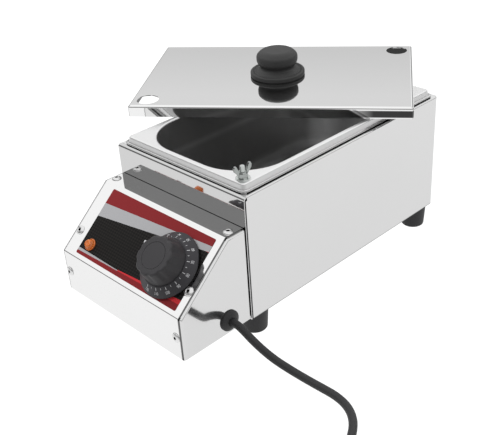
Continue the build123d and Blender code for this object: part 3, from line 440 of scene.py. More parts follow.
MATERIALS = {
    # All these sheets are one polished steel: their different tones are painted light and shade, lightest
    # on the cover and darkest on the front wall
    "body_steel": steel("body_steel", 0.80, 0.05, painted_shade=wrap_edges),
    "front_steel": steel("front_steel", 0.72, 0.04),
    "cover_steel": steel("cover_steel", 0.99, 0.05, painted_shade=cover_edges),
    "side_steel": steel("side_steel", 0.80, 0.07, painted_shade=plate_edges),
    "pan_steel": pan_material(),
    "lid_steel": lid_material(),
    "satin_stainless": plain_metal("satin_stainless", grey(0.55), 0.28, 60.0),
    "zinc_steel": plain_metal("zinc_steel", srgb("d6dad8"), 0.12),
    "cast_zinc": plain_metal("cast_zinc", srgb("b2b6b4"), 0.12, 250.0),
    "heater_sheath": plain_metal("heater_sheath", srgb("6b645c"), 0.42, 200.0),
    "brass": plain_metal("brass", srgb("c9a25c"), 0.25),
    "copper": plain_metal("copper", srgb("c9764e"), 0.25),
    "rivet_alloy": plain_metal("rivet_alloy", srgb("fafafa"), 0.34, shade="deep"),
    "seal": plastic("seal", srgb("9c3228"), 0.6),
    "orange_lens": lens_material(),
    "white_plastic": plastic("white_plastic", srgb("d8d4c8"), 0.45),
    "thermostat_housing": plastic("thermostat_housing", srgb("4a3c30"), 0.5),
    "dial_plastic": plastic("dial_plastic", srgb("2e2d30"), 0.46),
    "knob_plastic": plastic("knob_plastic", srgb("2f2e30"), 0.46),
    "lid_knob_plastic": plastic("lid_knob_plastic", srgb("2e2e2e"), 0.5),
    "black_rubber": plastic("black_rubber", srgb("29292a"), 0.5, 1200.0),
    "cord_rubber": plastic("cord_rubber", srgb("2b2b2c"), 0.48, 1600.0),
    "mark_paint": plastic("mark_paint", srgb("b4b4b6"), 0.5),
    "label": label_material(),
}
STEEL_OF = {
    "side_rear_wrap": "body_steel", "front_wall": "front_steel", "base_plate": "body_steel",
    "left_side_plate": "side_steel", "right_side_plate": "side_steel", "front_cover": "cover_steel",
    "pan": "pan_steel", "lid_sheet": "lid_steel"}


# Mesh helpers

def bake(obj):
    """Apply the object's modifiers by taking its finished mesh."""
    bpy.context.view_layer.update()
    finished = bpy.data.meshes.new_from_object(obj.evaluated_get(bpy.context.evaluated_depsgraph_get()))
    obj.modifiers.clear()
    obj.data = finished
    return obj


def smooth(obj, angle=35.0):
    """Smooth shading up to an angle, with wide flat faces kept flat."""
    for face in obj.data.polygons:
        face.use_smooth = True
    obj.data.set_sharp_from_angle(angle=math.radians(angle))
    weigh = obj.modifiers.new("weigh", "WEIGHTED_NORMAL")
    weigh.mode = "FACE_AREA"
    weigh.weight = 100
    weigh.keep_sharp = True
    return bake(obj)


def finish_piece(obj, look, body, nodes=()):
    """Give a piece its material and body, and hide the CAD nodes that it stands for."""
    obj.data.materials.clear()
    obj.data.materials.append(MATERIALS[look])
    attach(obj, body)
    if nodes:
        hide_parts(*nodes)
    return obj


def new_object(name, mesh):
    """Object at the origin, linked to the scene."""
    obj = bpy.data.objects.new(name, mesh)
    bpy.context.scene.collection.objects.link(obj)
    return obj


def from_data(name, points, faces, place=BENCH, angle=35.0, thick=0.0, weld=0.0, deep=None):
    """Object from points in a local frame, with optional sheet thickness and a shade per point."""
    mesh = bpy.data.meshes.new(name)
    mesh.from_pydata([place @ Vector(p) for p in points], [], faces)
    if deep:
        mesh.attributes.new("deep", "FLOAT", "POINT").data.foreach_set("value", deep)
    work = bmesh.new()
    work.from_mesh(mesh)
    if weld:
        bmesh.ops.remove_doubles(work, verts=work.verts, dist=weld / 1000)
    bmesh.ops.recalc_face_normals(work, faces=work.faces)
    work.to_mesh(mesh)
    work.free()
    obj = new_object(name, mesh)
    if thick:
        solid = obj.modifiers.new("sheet", "SOLIDIFY")
        solid.thickness = thick / 1000
        solid.offset = -1
        solid.use_even_offset = True
        bake(obj)
    return smooth(obj, angle)


def skin(node, look=None):
    """The CAD node's own shape, cleaned up for shading."""
    mesh = frame["nodes"][node].data.copy()
    mesh.name = "look_" + node
    work = bmesh.new()
    work.from_mesh(mesh)
    bmesh.ops.remove_doubles(work, verts=work.verts, dist=1e-6)
    work.to_mesh(mesh)
    work.free()
    obj = new_object("look_" + node, mesh)
    if mesh.has_custom_normals:
        with bpy.context.temp_override(object=obj, active_object=obj, selected_objects=[obj]):
            bpy.ops.mesh.customdata_custom_splitnormals_clear()
    smooth(obj)
    slot = NODE_SLOT[node]
    return finish_piece(obj, look or STEEL_OF.get(node, slot), NODE_BODY[node], [node])


def loft(rings, cap_first=False, cap_last=False):
    """Points and faces between rings of equally many points."""
    count = len(rings[0])
    points = [p for ring in rings for p in ring]
    faces = []
    for k in range(len(rings) - 1):
        a = k * count
        b = a + count
        for i in range(count):
            j = (i + 1) % count
            faces.append((a + i, a + j, b + j, b + i))
    if cap_first:
        faces.append(tuple(range(count))[::-1])
    if cap_last:
        faces.append(tuple(range((len(rings) - 1) * count, len(rings) * count)))
    return points, faces


def arcs(path, radii, steps=6):
    """A path of pairs with arcs in place of its corners, one radius for each; the ends stay."""
    path = [Vector((*p, 0)) for p in path]
    out = [path[0]]
    for radius, before, here, after in zip(radii, path, path[1:], path[2:]):
        back = before - here
        ahead = after - here
        half = back.angle(ahead) / 2
        if not radius or half > math.pi / 2 - 1e-3:
            out.append(here)
            continue
        cut = min(radius / math.tan(half), back.length * 0.49, ahead.length * 0.49)
        start = here + back.normalized() * cut
        end = here + ahead.normalized() * cut
        middle = (back.normalized() + ahead.normalized()).normalized()
        centre = here + middle * (cut / math.cos(half))
        first = start - centre
        last = end - centre
        for i in range(steps + 1):
            t = i / steps
            out.append(centre + (first * (1 - t) + last * t).normalized() * first.length)
    out.append(path[-1])
    return [(p.x, p.y) for p in out]


def lathe(profile, turns=96):
    """Points and faces of a profile of radius and height turned about Z."""
    angles = [2 * math.pi * i / turns for i in range(turns)]
    rings = []
    for r, z in profile:
        r = max(r, 0.02)
        rings.append([(r * math.cos(a), r * math.sin(a), z) for a in angles])
    return loft(rings)


def round_ring(width, length, radius, z):
    """Ring of points round a rectangle with round corners, centred on the body."""
    steps = 14
    out = []
    for k, (sx, sy) in enumerate(((1, 1), (-1, 1), (-1, -1), (1, -1))):
        for i in range(steps + 1):
            a = math.radians(90 * k + 90 * i / steps)
            out.append((sx * (width / 2 - radius) + radius * math.cos(a),
                        BODY_L / 2 + sy * (length / 2 - radius) + radius * math.sin(a), z))
    return out


# Repeats by geometry nodes

def repeat_on(name, seed, places, look):
    """One seed mesh on many points, each turned to face its point's direction."""
    cloud = bpy.data.meshes.new(name + "_points")
    cloud.from_pydata([p for p, _ in places], [], [])
    facing = cloud.attributes.new("facing", "FLOAT_VECTOR", "POINT")
    for item, (_, direction) in zip(facing.data, places):
        item.vector = direction
    obj = new_object(name, cloud)
    group = bpy.data.node_groups.new(name + "_repeat", "GeometryNodeTree")
    face = group.interface
    face.new_socket("Points", in_out="INPUT", socket_type="NodeSocketGeometry")
    face.new_socket("Seed", in_out="INPUT", socket_type="NodeSocketObject")
    face.new_socket("Look", in_out="INPUT", socket_type="NodeSocketMaterial")
    face.new_socket("Result", in_out="OUTPUT", socket_type="NodeSocketGeometry")
    nodes, link = group.nodes, group.links.new
    given = nodes.new("NodeGroupInput")
    result = nodes.new("NodeGroupOutput")
    info = nodes.new("GeometryNodeObjectInfo")
    named = nodes.new("GeometryNodeInputNamedAttribute")
    named.data_type = "FLOAT_VECTOR"
    named.inputs["Name"].default_value = "facing"
    align = nodes.new("FunctionNodeAlignRotationToVector")
    align.axis = "Z"
    put = nodes.new("GeometryNodeInstanceOnPoints")
    real = nodes.new("GeometryNodeRealizeInstances")
    paint = nodes.new("GeometryNodeSetMaterial")
    link(given.outputs["Seed"], info.inputs["Object"])
    link(given.outputs["Points"], put.inputs["Points"])
    link(info.outputs["Geometry"], put.inputs["Instance"])
    link(named.outputs["Attribute"], align.inputs["Vector"])
    link(align.outputs[0], put.inputs["Rotation"])
    link(put.outputs[0], real.inputs[0])
    link(real.outputs[0], paint.inputs["Geometry"])
    link(given.outputs["Look"], paint.inputs["Material"])
    link(paint.outputs[0], result.inputs[0])
    run = obj.modifiers.new("repeat", "NODES")
    run.node_group = group
    keys = {i.name: i.identifier for i in face.items_tree if i.in_out == "INPUT"}
    run[keys["Seed"]] = seed
    run[keys["Look"]] = MATERIALS[look]
    bake(obj)
    bpy.data.objects.remove(seed)
    for one in obj.data.polygons:
        one.use_smooth = True
    obj.data.set_sharp_from_angle(angle=math.radians(40))
    return obj


# Body, control box and inner pieces straight from the CAD

OWN_SHAPE = {"pan", "lid_sheet", "lid_knob", "knob_skirt", "knob_grip", "knob_cap", "cover_rivets",
             "label_plate", "pilot_lamp_lens", "cord_bushing", "power_cord", "cord_coil", "cord_tail",
             "pan_studs", "flat_washers", "wing_nut_front", "foot_front_left", "foot_front_right",
             "foot_rear_left", "foot_rear_right"}
for node_name in frame["nodes"]:
    if node_name not in OWN_SHAPE:
        skin(node_name)


def label():
    """The label with a flat map over its face, for the print."""
    obj = skin("label_plate", "label")
    flat = obj.data.uv_layers.new(name="flat")
    back = SLOPE.inverted()
    for corner in obj.data.loops:
        spot = back @ obj.data.vertices[corner.vertex_index].co
        flat.data[corner.index].uv = ((spot.x - LABEL_LEFT) / LABEL_W, (spot.y - LABEL_LOW) / LABEL_H)


label()


def pan():
    """The pan as one skin: lip, step, rim, rounded mouth, bowl and floor."""
    ledge = TOP + 1.4
    edge = arcs([(0.4, TOP), (0.4, TOP + 1.0), (0, TOP + 1.0), (0, ledge), (2.6, ledge), (4.1, PLATEAU),
                 (14, PLATEAU)], [0, 0.05, 0.25, 0.8, 1.6], 7)[:-1]
    edge.append((edge[-1][0] + 0.3, PLATEAU))
    rings = [round_ring(LIP_W - 2 * d, LIP_L - 2 * d, max(LIP_R - d, 2.5), z) for d, z in edge]
    # Painted shade: deep is 1 on the lip's lower edge and fades in over the bowl, which take the pan's
    # painted dark colour
    deep = [1.0 if z < TOP + 1.02 else 0.0 for _, z in edge]
    low = PLATEAU - PAN_DEPTH
    foot = PAN_DEPTH * math.tan(PAN_TAPER)
    wall = arcs([(-6, PLATEAU), (0, PLATEAU), (foot, low), (70, low)], [2.0, 16.0], 14)
    for d, z in [(-2.6, PLATEAU)] + wall[1:-1]:
        rings.append(round_ring(MOUTH_W - 2 * d, MOUTH_L - 2 * d, MOUTH_R - d, z))
        deep.append(min(max((PLATEAU - 0.3 - z) / 0.7, 0.0), 1.0))
    points, faces = loft(rings, cap_last=True)
    shades = [value for ring, value in zip(rings, deep) for _ in ring]
    obj = from_data("look_pan", points, faces, thick=SHEET, deep=shades)
    finish_piece(obj, "pan_steel", "pan_unit", ["pan"])


pan()


def studs():
    """Threaded studs with rounded tops, their heads under the rim and their flat washers."""
    head, neck = TOP - 4.1, TOP - 1.6
    top = PLATEAU + STUD_ABOVE
    profile = [(0.02, head), (4.2, head), (4.2, neck), (2.45, neck), (2.45, PLATEAU - 0.5)]
    z = PLATEAU
    while z < top - 1.6:
        profile += [(2.48, z), (2.18, z + THREAD_PITCH / 2)]
        z += THREAD_PITCH
    profile += [(2.3, top - 1.0), (1.9, top - 0.45), (1.1, top - 0.1), (0.02, top)]
    ring = arcs([(2.8, 0), (6.7, 0), (6.7, 1.0), (2.8, 1.0), (2.8, 0)], [0.2, 0.3, 0.2], 3)
    for index, (x, y) in enumerate(STUDS):
        foot = BENCH @ Matrix.Translation((x, y, 0))
        obj = from_data(f"look_stud_{index}", *lathe(profile, 32), place=foot, angle=50)
        finish_piece(obj, "zinc_steel", "melter_body", ["pan_studs"])
        seat = BENCH @ Matrix.Translation((x, y, PLATEAU))
        washer = from_data(f"look_washer_{index}", *lathe(ring, 48), place=seat, angle=50, weld=0.001)
        finish_piece(washer, "zinc_steel", "pan_unit", ["flat_washers"])


studs()


def front_nut():
    """Cast wing nut: a low conical hub and two wings that lean outwards and end round."""
    place = BENCH @ Matrix.Translation((*STUDS[0], NUT_SEAT)) @ Matrix.Rotation(FRONT_NUT_TURN, 4, "Z")
    hub = arcs([(2.5, 4.4), (2.5, 0.0), (4.9, 0.0), (4.4, 3.2), (3.6, 4.6), (2.5, 4.6)],
               [0.1, 0.3, 0.8, 0.4], 4)
    points, faces = lathe(hub, 40)
    side = arcs([(3.0, 0.9), (4.5, 0.9), (9.3, 6.6), (9.5, 9.6), (8.5, 11.5), (6.7, 11.3), (5.4, 8.6),
                 (3.4, 4.4)], [0.2, 1.5, 1.8, 1.4, 1.2, 1.4], 4)
    middle = Vector((6.2, 6.2))
    for sign in (1, -1):
        rings = []
        for half, inset in ((-1.15, 0.45), (-0.7, 0.0), (0.7, 0.0), (1.15, 0.45)):
            ring = []
            for spot in map(Vector, side):
                to = middle - spot
                r, z = spot + to.normalized() * min(inset, to.length)
                ring.append((sign * r, half, z))
            rings.append(ring)
        wing, wing_faces = loft(rings, cap_first=True, cap_last=True)
        faces = faces + [tuple(i + len(points) for i in f) for f in wing_faces]
        points = points + wing
    obj = from_data("look_wing_nut_front", points, faces, place=place, angle=45)
    node = "wing_nut_front"
    finish_piece(obj, "cast_zinc", NODE_BODY[node], [node])


front_nut()


def lid_sheet():
    """The lid: a flat top with two round holes and four bent flanges with slit corners."""
    flat = (LID_L / 2 - LID_BEND, LID_W / 2 - LID_BEND)
    outline = bpy.data.curves.new("lid_top", "CURVE")
    outline.dimensions = "2D"
    outline.fill_mode = "BOTH"
    loops = [[(sx * flat[0], sy * flat[1]) for sx, sy in ((1, 1), (-1, 1), (-1, -1), (1, -1))]]
    for sign in (1, -1):
        x, y = sign * (LID_L / 2 - LID_HOLE_END), sign * (LID_W / 2 - LID_HOLE_SIDE)
        round_hole = [math.pi * i / 32 for i in range(64)]
        loops.append([(x + LID_HOLE_R * math.cos(a), y + LID_HOLE_R * math.sin(a)) for a in round_hole])
    for loop in loops:
        line = outline.splines.new("POLY")
        line.points.add(len(loop) - 1)
        line.use_cyclic_u = True
        for spot, (x, y) in zip(line.points, loop):
            spot.co = (x, y, 0, 1)
    holder = new_object("lid_top", outline)
    bpy.context.view_layer.update()
    top = bpy.data.meshes.new_from_object(holder.evaluated_get(bpy.context.evaluated_depsgraph_get()))
    bpy.data.objects.remove(holder)
    points = [tuple(v.co) for v in top.vertices]
    faces = [tuple(p.vertices) for p in top.polygons]
    steps = 8
    angles = [math.pi / 2 * i / steps for i in range(steps + 1)]
    bent = [(LID_BEND * math.sin(a), LID_BEND * math.cos(a) - LID_BEND) for a in angles]
    bent.append((LID_BEND, -LID_H))
    for turn in range(4):
        out = Vector(((1, 0), (0, 1), (-1, 0), (0, -1))[turn])
        across = Vector((-out.y, out.x))
        reach = flat[turn % 2]
        half = flat[1 - turn % 2]
        first = len(points)
        for k, (u, z) in enumerate(bent):
            wide = half + min(k / steps, 1.0) * (LID_BEND - LID_SLIT)
            for side in (-1, 1):
                place = out * (reach + u) + across * (side * wide)
                points.append((place.x, place.y, z))
        faces += [(first + 2 * k, first + 2 * k + 1, first + 2 * k + 3, first + 2 * k + 2)
                  for k in range(len(bent) - 1)]
    obj = from_data("look_lid_sheet", points, faces, place=LID, angle=40, weld=0.01, thick=SHEET)
    finish_piece(obj, "lid_steel", "lid", ["lid_sheet"])


lid_sheet()


def lid_knob():
    """Turned knob: a flange at the foot, a waist and a rounded top."""
    profile = arcs([(0.02, 0), (28.4, 0), (29.2, 1.0), (29.2, 5.0), (26.4, 5.4), (24.4, 4.4), (18.6, 8.4),
                    (18.6, 10.6), (22.0, 15.2), (22.0, 22.2), (16.6, 27.4), (0.02, 28.4)],
                   [0.6, 0.4, 1.8, 1.4, 1.6, 3.0, 3.0, 9.0, 5.0, 12.0], 8)
    obj = from_data("look_lid_knob", *lathe(profile, 128), place=LID, angle=60)
    finish_piece(obj, "lid_knob_plastic", "lid", ["lid_knob"])


lid_knob()


# Thermostat knob

KNOB = SLOPE @ Matrix.Translation((*KNOB_AT, KNOB_LIFT))


def knob():
    """Thermostat knob: a thin conical skirt for the dial, a fluted grip and its cap."""
    skirt = arcs([(29.6, 0.05), (SKIRT_R, 0.05), (SKIRT_R, SKIRT_EDGE), (SKIRT_INNER_R, SKIRT_TOP),
                  (15, SKIRT_TOP), (15, 6.2), (22.6, 6.2), (29.6, 0.8), (29.6, 0.05)],
                 [0.2, 0.5, 0.4, 0, 0, 0.4, 0], 5)
    obj = from_data("look_knob_skirt", *lathe(skirt, 160), place=KNOB, angle=50, weld=0.001)
    finish_piece(obj, "dial_plastic", "thermostat_knob", ["knob_skirt"])

    outline = arcs([(22.0, 7.85), (21.2, 13.0), (19.0, 24.2), (12.55, 24.2), (12.55, 22.9), (0.02, 22.9)],
                   [3.0, 2.2, 0.4, 0.3], 7)
    angles = [2 * math.pi * i / 240 for i in range(240)]
    rings = []
    for r, z in outline:
        share = min(max((z - 9.5) / 6.0, 0.0), 1.0) * (1.0 if r > 14 else 0.0)
        ring = []
        for a in angles:
            dip = (0.5 + 0.5 * math.cos(FLUTES * a)) ** 2.4
            reach = r - FLUTE_DEPTH * dip * share
            ring.append((reach * math.cos(a), reach * math.sin(a), z))
        rings.append(ring)
    obj = from_data("look_knob_grip", *loft(rings), place=KNOB, angle=40)
    finish_piece(obj, "knob_plastic", "thermostat_knob", ["knob_grip"])

    cap = arcs([(0.02, 24.2), (12.42, 24.15), (12.42, 22.95)], [0.15], 4)
    obj = from_data("look_knob_cap", *lathe(cap, 96), place=KNOB, angle=40)
    finish_piece(obj, "knob_plastic", "thermostat_knob", ["knob_cap"])


knob()


def cone_height(radius):
    """Height of the dial's cone at a radius, in the knob's frame."""
    return SKIRT_EDGE + (SKIRT_R - radius) / (SKIRT_R - SKIRT_INNER_R) * (SKIRT_TOP - SKIRT_EDGE)


CONE_OUT = Vector((SKIRT_TOP - SKIRT_EDGE, 0, SKIRT_R - SKIRT_INNER_R)).normalized()


def dial_turn(number):
    """Rotation to the place of a number, counted from 0; halves lie between the numbers."""
    angle = DIAL_START - DIAL_SWEEP * number / (len(DIAL_NUMBERS) - 1)
    return Matrix.Rotation(math.radians(angle), 4, "Z")


def dial_marks():
    """Raised marks on the dial's cone: long ones at the numbers and short ones between."""
    points, faces = [], []
    for k in range(2 * len(DIAL_NUMBERS) - 1):
        inner, outer, half = (24.0, 25.2, 0.2) if k % 2 else (23.8, 25.9, 0.26)
        a = len(points)
        for r in (inner, outer):
            for side in (-half, half):
                for up in (0.0, 0.08):
                    points.append(dial_turn(k / 2) @ (Vector((r, side, cone_height(r))) + CONE_OUT * up))
        faces += [(a + 1, a + 3, a + 7, a + 5), (a, a + 4, a + 5, a + 1), (a + 2, a + 3, a + 7, a + 6),
                  (a, a + 1, a + 3, a + 2), (a + 4, a + 6, a + 7, a + 5)]
    obj = from_data("dial_marks", points, faces, place=KNOB, angle=20)
    finish_piece(obj, "mark_paint", "thermostat_knob")


dial_marks()


def dial_numbers():
    """Plain numbers laid on the dial's cone."""
    for k, number in enumerate(DIAL_NUMBERS):
        text = bpy.data.curves.new(f"number_{k}", "FONT")
        text.body = str(number)
        text.size = NUMBER_SIZE
        text.extrude = 0.04
        text.align_x = "CENTER"
        text.align_y = "CENTER"
        holder = new_object(f"number_{k}", text)
        bpy.context.view_layer.update()
        mesh = bpy.data.meshes.new_from_object(holder.evaluated_get(bpy.context.evaluated_depsgraph_get()))
        bpy.data.objects.remove(holder)
        for vertex in mesh.vertices:
            across, up, out = vertex.co
            r = NUMBER_R - up
            p = Vector((r, across, cone_height(r))) + CONE_OUT * (out + text.extrude)
            vertex.co = KNOB @ (dial_turn(k) @ p)
        obj = new_object(f"number_{k}", mesh)
        finish_piece(obj, "mark_paint", "thermostat_knob")


dial_numbers()


def index_mark():
    """Small round mark on the label at which the dial is read."""
    x = KNOB_AT[0] + INDEX_R * math.cos(INDEX_ANGLE)
    y = KNOB_AT[1] + INDEX_R * math.sin(INDEX_ANGLE)
    place = SLOPE @ Matrix.Translation((x, y, LABEL_T))
    obj = from_data("index_mark", *lathe([(0.02, 0.05), (1.3, 0.05), (1.4, 0.0)], 32), place=place)
    finish_piece(obj, "mark_paint", "melter_body")


index_mark()


# Pilot lamp, rivets, bush and feet

def lamp_lens():
    """Pilot lamp: a round rim and a twelve-sided lens with a sunk middle."""
    place = SLOPE @ Matrix.Translation((*LAMP_AT, LABEL_T))
    rim = arcs([(5.05, 0.0), (6.0, 0.0), (6.0, 1.2), (5.3, 1.3)], [0.2, 0.3], 4)
    obj = from_data("look_lamp_rim", *lathe(rim, 64), place=place)
    finish_piece(obj, "orange_lens", "melter_body", ["pilot_lamp_lens"])
    rings = []
    for r, z in ((5.3, 1.1), (4.9, 2.6), (3.9, 4.4), (3.4, 5.0), (2.4, 5.2), (1.2, 4.7), (0.02, 4.6)):
        rings.append([(r * math.cos(math.pi * i / 6), r * math.sin(math.pi * i / 6), z) for i in range(12)])
    obj = from_data("look_lamp_top", *loft(rings), place=place, angle=8)
    finish_piece(obj, "orange_lens", "melter_body", ["pilot_lamp_lens"])


lamp_lens()


def rivets():
    """Six blind rivets through the cover, with painted shade in their mandrel holes and round the foot of
    each head.
    """
    profile = arcs([(1.3, -0.8), (1.5, 1.7), (2.2, 1.95), (4.1, 1.1), (4.75, 0.3), (4.7, 0.0), (2.4, 0.0),
                    (2.4, -4.0), (0.02, -4.0)], [0.3, 0.5, 1.5, 0.3, 0.1, 0, 0], 5)
    points, faces = lathe(profile, 48)
    pin, pin_faces = lathe([(0.02, 0.4), (1.2, 0.3), (1.3, 0.0), (1.3, -0.8)], 24)
    faces = faces + [tuple(i + len(points) for i in f) for f in pin_faces]
    # Painted shade: full in the mandrel hole and on the pin, lighter round the foot of the head
    deep = []
    for x, y, z in points:
        in_hole = math.hypot(x, y) < 1.7 and z < 1.6
        deep.append(1.0 if in_hole else 0.45 if z < 0.25 else 0.0)
    deep += [1.0] * len(pin)
    seed = from_data("rivet_seed", points + pin, faces, place=Matrix.Scale(0.001, 4), deep=deep)
    places = []
    for side in (-RIVET_X, RIVET_X):
        places.append((point(side, -BOX_DEPTH, BASE + RIVET_FRONT_Z), Vector((0, -1, 0))))
        places.append((SLOPE @ Vector((side, RIVET_SLOPE_V, 0)), SLOPE_N))
        places.append((point(side, RIVET_SHELF_Y, BASE + SHELF_H), Vector((0, 0, 1))))
    obj = repeat_on("look_cover_rivets", seed, places, "rivet_alloy")
    finish_piece(obj, "rivet_alloy", "melter_body", ["cover_rivets"])


rivets()


def bush():
    """Rubber bush in the right side plate, with a domed flange outside and a lip inside."""
    place = placed((HALF, CORD_Y, CORD_Z), (0, 1, 0), (1, 0, 0))
    profile = arcs([(3.9, -8.0), (7.0, -8.0), (7.0, -3.8), (8.6, -3.8), (8.6, -0.85), (7.0, -0.85),
                    (7.0, 0.0), (10.3, 0.0), (10.3, 1.8), (7.2, 3.4), (5.6, 4.0), (4.1, 4.0), (3.9, 3.6),
                    (3.9, -8.0)], [0.2, 0, 0, 0, 0, 0, 0.3, 1.4, 2.0, 0.3, 0.1, 0], 5)
    obj = from_data("look_cord_bushing", *lathe(profile, 72), place=place, angle=50)
    finish_piece(obj, "black_rubber", "melter_body", ["cord_bushing"])


bush()


def feet():
    """Tapered rubber feet, open below for their screws."""
    top = BASE - 0.02
    profile = arcs([(2.6, 12.0), (5.2, 12.0), (5.2, 0.0), (12.3, 0.0), (13.9, top), (2.6, top)],
                   [0.3, 0.6, 2.2, 0.5], 7)
    for end, y in (("front", FOOT_IN[1]), ("rear", BODY_L - FOOT_IN[1])):
        for side, x in (("left", FOOT_IN[0] - HALF), ("right", HALF - FOOT_IN[0])):
            node = f"foot_{end}_{side}"
            place = BENCH @ Matrix.Translation((x, y, 0))
            obj = from_data("look_" + node, *lathe(profile, 72), place=place)
            finish_piece(obj, "black_rubber", "melter_body", [node])


feet()


# Cord: a given route to the table, a coil and the tail to the plug

ROUTE = [(82, CORD_Y, CORD_Z), (92, CORD_Y, CORD_Z), (101, CORD_Y, CORD_Z), (118, -26.3, 28.6),
         (132.5, -19.8, 15), (150, -13.8, 6.6), (172, -11.2, 3.75), (205, -10, 3.75), (227, -21.5, 3.75),
         (241.5, -45, 3.75), (254, -75, 3.75), (265, -107, 3.75), (267.7, -134, 3.75)]
COIL = (225.0, -145.0)
COIL_SLOTS = [(42.75, 3.75), (35.25, 3.75), (35.25, 11.25), (35.25, 18.75), (42.75, 18.75), (42.75, 11.25)]
COIL_DEGREES = 1890
SLOT_EVERY, SLOT_CHANGE = 320, 40


def coil_point(travelled):
    """Centre of the cord after turning clockwise by so many degrees, in layered turns."""
    r, z = COIL_SLOTS[0]
    for k in range(len(COIL_SLOTS) - 1):
        t = min(max((travelled - SLOT_EVERY * (k + 1)) / SLOT_CHANGE, 0.0), 1.0)
        t = t * t * (3 - 2 * t)
        r += (COIL_SLOTS[k + 1][0] - COIL_SLOTS[k][0]) * t
        z += (COIL_SLOTS[k + 1][1] - COIL_SLOTS[k][1]) * t
    a = math.radians(-travelled)
    # The smooth curve runs a little inside its points
    r *= 1.004
    return (COIL[0] + r * math.cos(a), COIL[1] + r * math.sin(a), z)


def cord():
    """The whole cord as one soft curve, with the plug at its far end."""
    route = ROUTE + [coil_point(t) for t in range(5, COIL_DEGREES + 1, 15)]
    tail = ((12, 11.25), (22, 11.0), (31, 9.3), (38, 8.5), (44, 8.5))
    route += [(COIL[0] - along, COIL[1] - COIL_SLOTS[0][0], z) for along, z in tail]
    curve = bpy.data.curves.new("look_power_cord", "CURVE")
    curve.dimensions = "3D"
    curve.bevel_depth = CORD_D / 2000
    curve.bevel_resolution = 8
    curve.resolution_u = 6
    curve.use_fill_caps = True
    line = curve.splines.new("NURBS")
    line.points.add(len(route) - 1)
    for spot, place in zip(line.points, route):
        spot.co = (*point(*place), 1)
    line.order_u = 3
    line.use_endpoint_u = True
    obj = new_object("look_power_cord", curve)
    finish_piece(obj, "cord_rubber", "melter_body", ["power_cord", "cord_coil", "cord_tail"])


cord()


# Camera, light and floor

PICTURE = (500, 435)
FOCAL_PIXELS = 847.43


def camera():
    """The photo's camera, as it was solved from the corners of the body and the control box."""
    right = Vector((0.70513, 0.70685, -0.05612))
    down = Vector((0.32072, -0.38852, -0.86382))
    ahead = Vector((-0.6324, 0.59111, -0.50066))
    data = bpy.data.cameras.new("camera")
    data.sensor_width = 36.0
    data.lens = FOCAL_PIXELS * data.sensor_width / PICTURE[0]
    data.clip_start = 0.01
    obj = bpy.data.objects.new("camera", data)
    bpy.context.scene.collection.objects.link(obj)
    turn = Matrix((right, -down, -ahead)).transposed().to_4x4()
    obj.matrix_world = Matrix.Translation(point(552.32, -428.03, 498.31)) @ turn
    bpy.context.scene.camera = obj


camera()


def world():
    """White surroundings with a grey zone and a dark band low in front, for the polished sheets."""
    made = bpy.data.worlds.new("studio")
    bpy.context.scene.world = made
    made.use_nodes = True
    tree = made.node_tree
    tree.nodes.clear()
    coords = tree.nodes.new("ShaderNodeTexCoord")
    way = Value(tree, coords.outputs["Generated"])
    y, z = parts(way)[1:]
    # A grey room low in front, and the dark band that the upright sheets reflect
    front = (-y).above(0.42, 0.04) * (-y - z).above(0.0, 0.04) * (1.0 - z.above(0.60, 0.06))
    glossy = front.mix(grey(0.92), grey(0.25))
    band = z.above(0.03, 0.06) * (1.0 - z.above(0.26, 0.12))
    glossy = band.mix(glossy, grey(0.08))
    path = tree.nodes.new("ShaderNodeLightPath")
    seen = Value(tree, path.outputs["Is Camera Ray"])
    shiny = Value(tree, path.outputs["Is Glossy Ray"])
    colour = shiny.mix(grey(0.85), glossy)
    colour = seen.mix(colour, grey(1.0))
    back = tree.nodes.new("ShaderNodeBackground")
    out = tree.nodes.new("ShaderNodeOutputWorld")
    tree.links.new(colour.out, back.inputs[0])
    tree.links.new(back.outputs[0], out.inputs[0])


world()


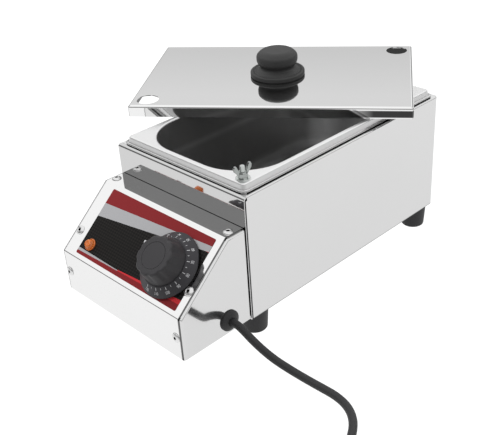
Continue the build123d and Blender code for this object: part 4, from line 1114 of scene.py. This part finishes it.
def floor():
    """White table: lit evenly, with only a faint shadow under the melter."""
    made = bpy.data.materials.new("floor")
    made.use_nodes = True
    tree = made.node_tree
    tree.nodes.clear()
    glow = tree.nodes.new("ShaderNodeEmission")
    matte = tree.nodes.new("ShaderNodeBsdfDiffuse")
    matte.inputs[0].default_value = grey(0.9)
    path = tree.nodes.new("ShaderNodeLightPath")
    seen = Value(tree, path.outputs["Is Camera Ray"])
    tree.links.new(seen.mix(grey(0.86), grey(1.15)).out, glow.inputs[0])
    share = tree.nodes.new("ShaderNodeMixShader")
    share.inputs[0].default_value = 0.05
    out = tree.nodes.new("ShaderNodeOutputMaterial")
    tree.links.new(glow.outputs[0], share.inputs[1])
    tree.links.new(matte.outputs[0], share.inputs[2])
    tree.links.new(share.outputs[0], out.inputs[0])
    mesh = bpy.data.meshes.new("floor")
    size, drop = 6.0, 0.0002
    corners = [(-size, -size, -drop), (size, -size, -drop), (size, size, -drop), (-size, size, -drop)]
    mesh.from_pydata(corners, [], [(0, 1, 2, 3)])
    obj = new_object("floor", mesh)
    mesh.materials.append(made)


floor()


def lamp(name, spot, aim, size, power):
    """Area lamp from a spot to an aim in millimetres, which neither camera nor reflections show."""
    data = bpy.data.lights.new(name, "AREA")
    data.shape = "RECTANGLE"
    data.size, data.size_y = size
    data.energy = power
    obj = bpy.data.objects.new(name, data)
    bpy.context.scene.collection.objects.link(obj)
    start = point(*spot)
    aim = point(*aim) - start
    obj.matrix_world = Matrix.Translation(start) @ aim.to_track_quat("-Z", "Y").to_matrix().to_4x4()
    obj.visible_camera = False
    obj.visible_glossy = False


lamp("key", (-500, -300, 900), (0, 80, 100), (0.7, 0.5), 9)
lamp("back", (300, 900, 700), (0, 100, 100), (0.9, 0.4), 6)

scene = bpy.context.scene
scene.render.engine = "CYCLES"
scene.cycles.max_bounces = 16
scene.cycles.glossy_bounces = 12
scene.cycles.samples = 160
scene.render.resolution_x, scene.render.resolution_y = PICTURE
scene.render.resolution_percentage = 100
scene.view_settings.view_transform = "Standard"
scene.view_settings.look = "None"
scene.view_settings.exposure = 0
scene.view_settings.gamma = 1
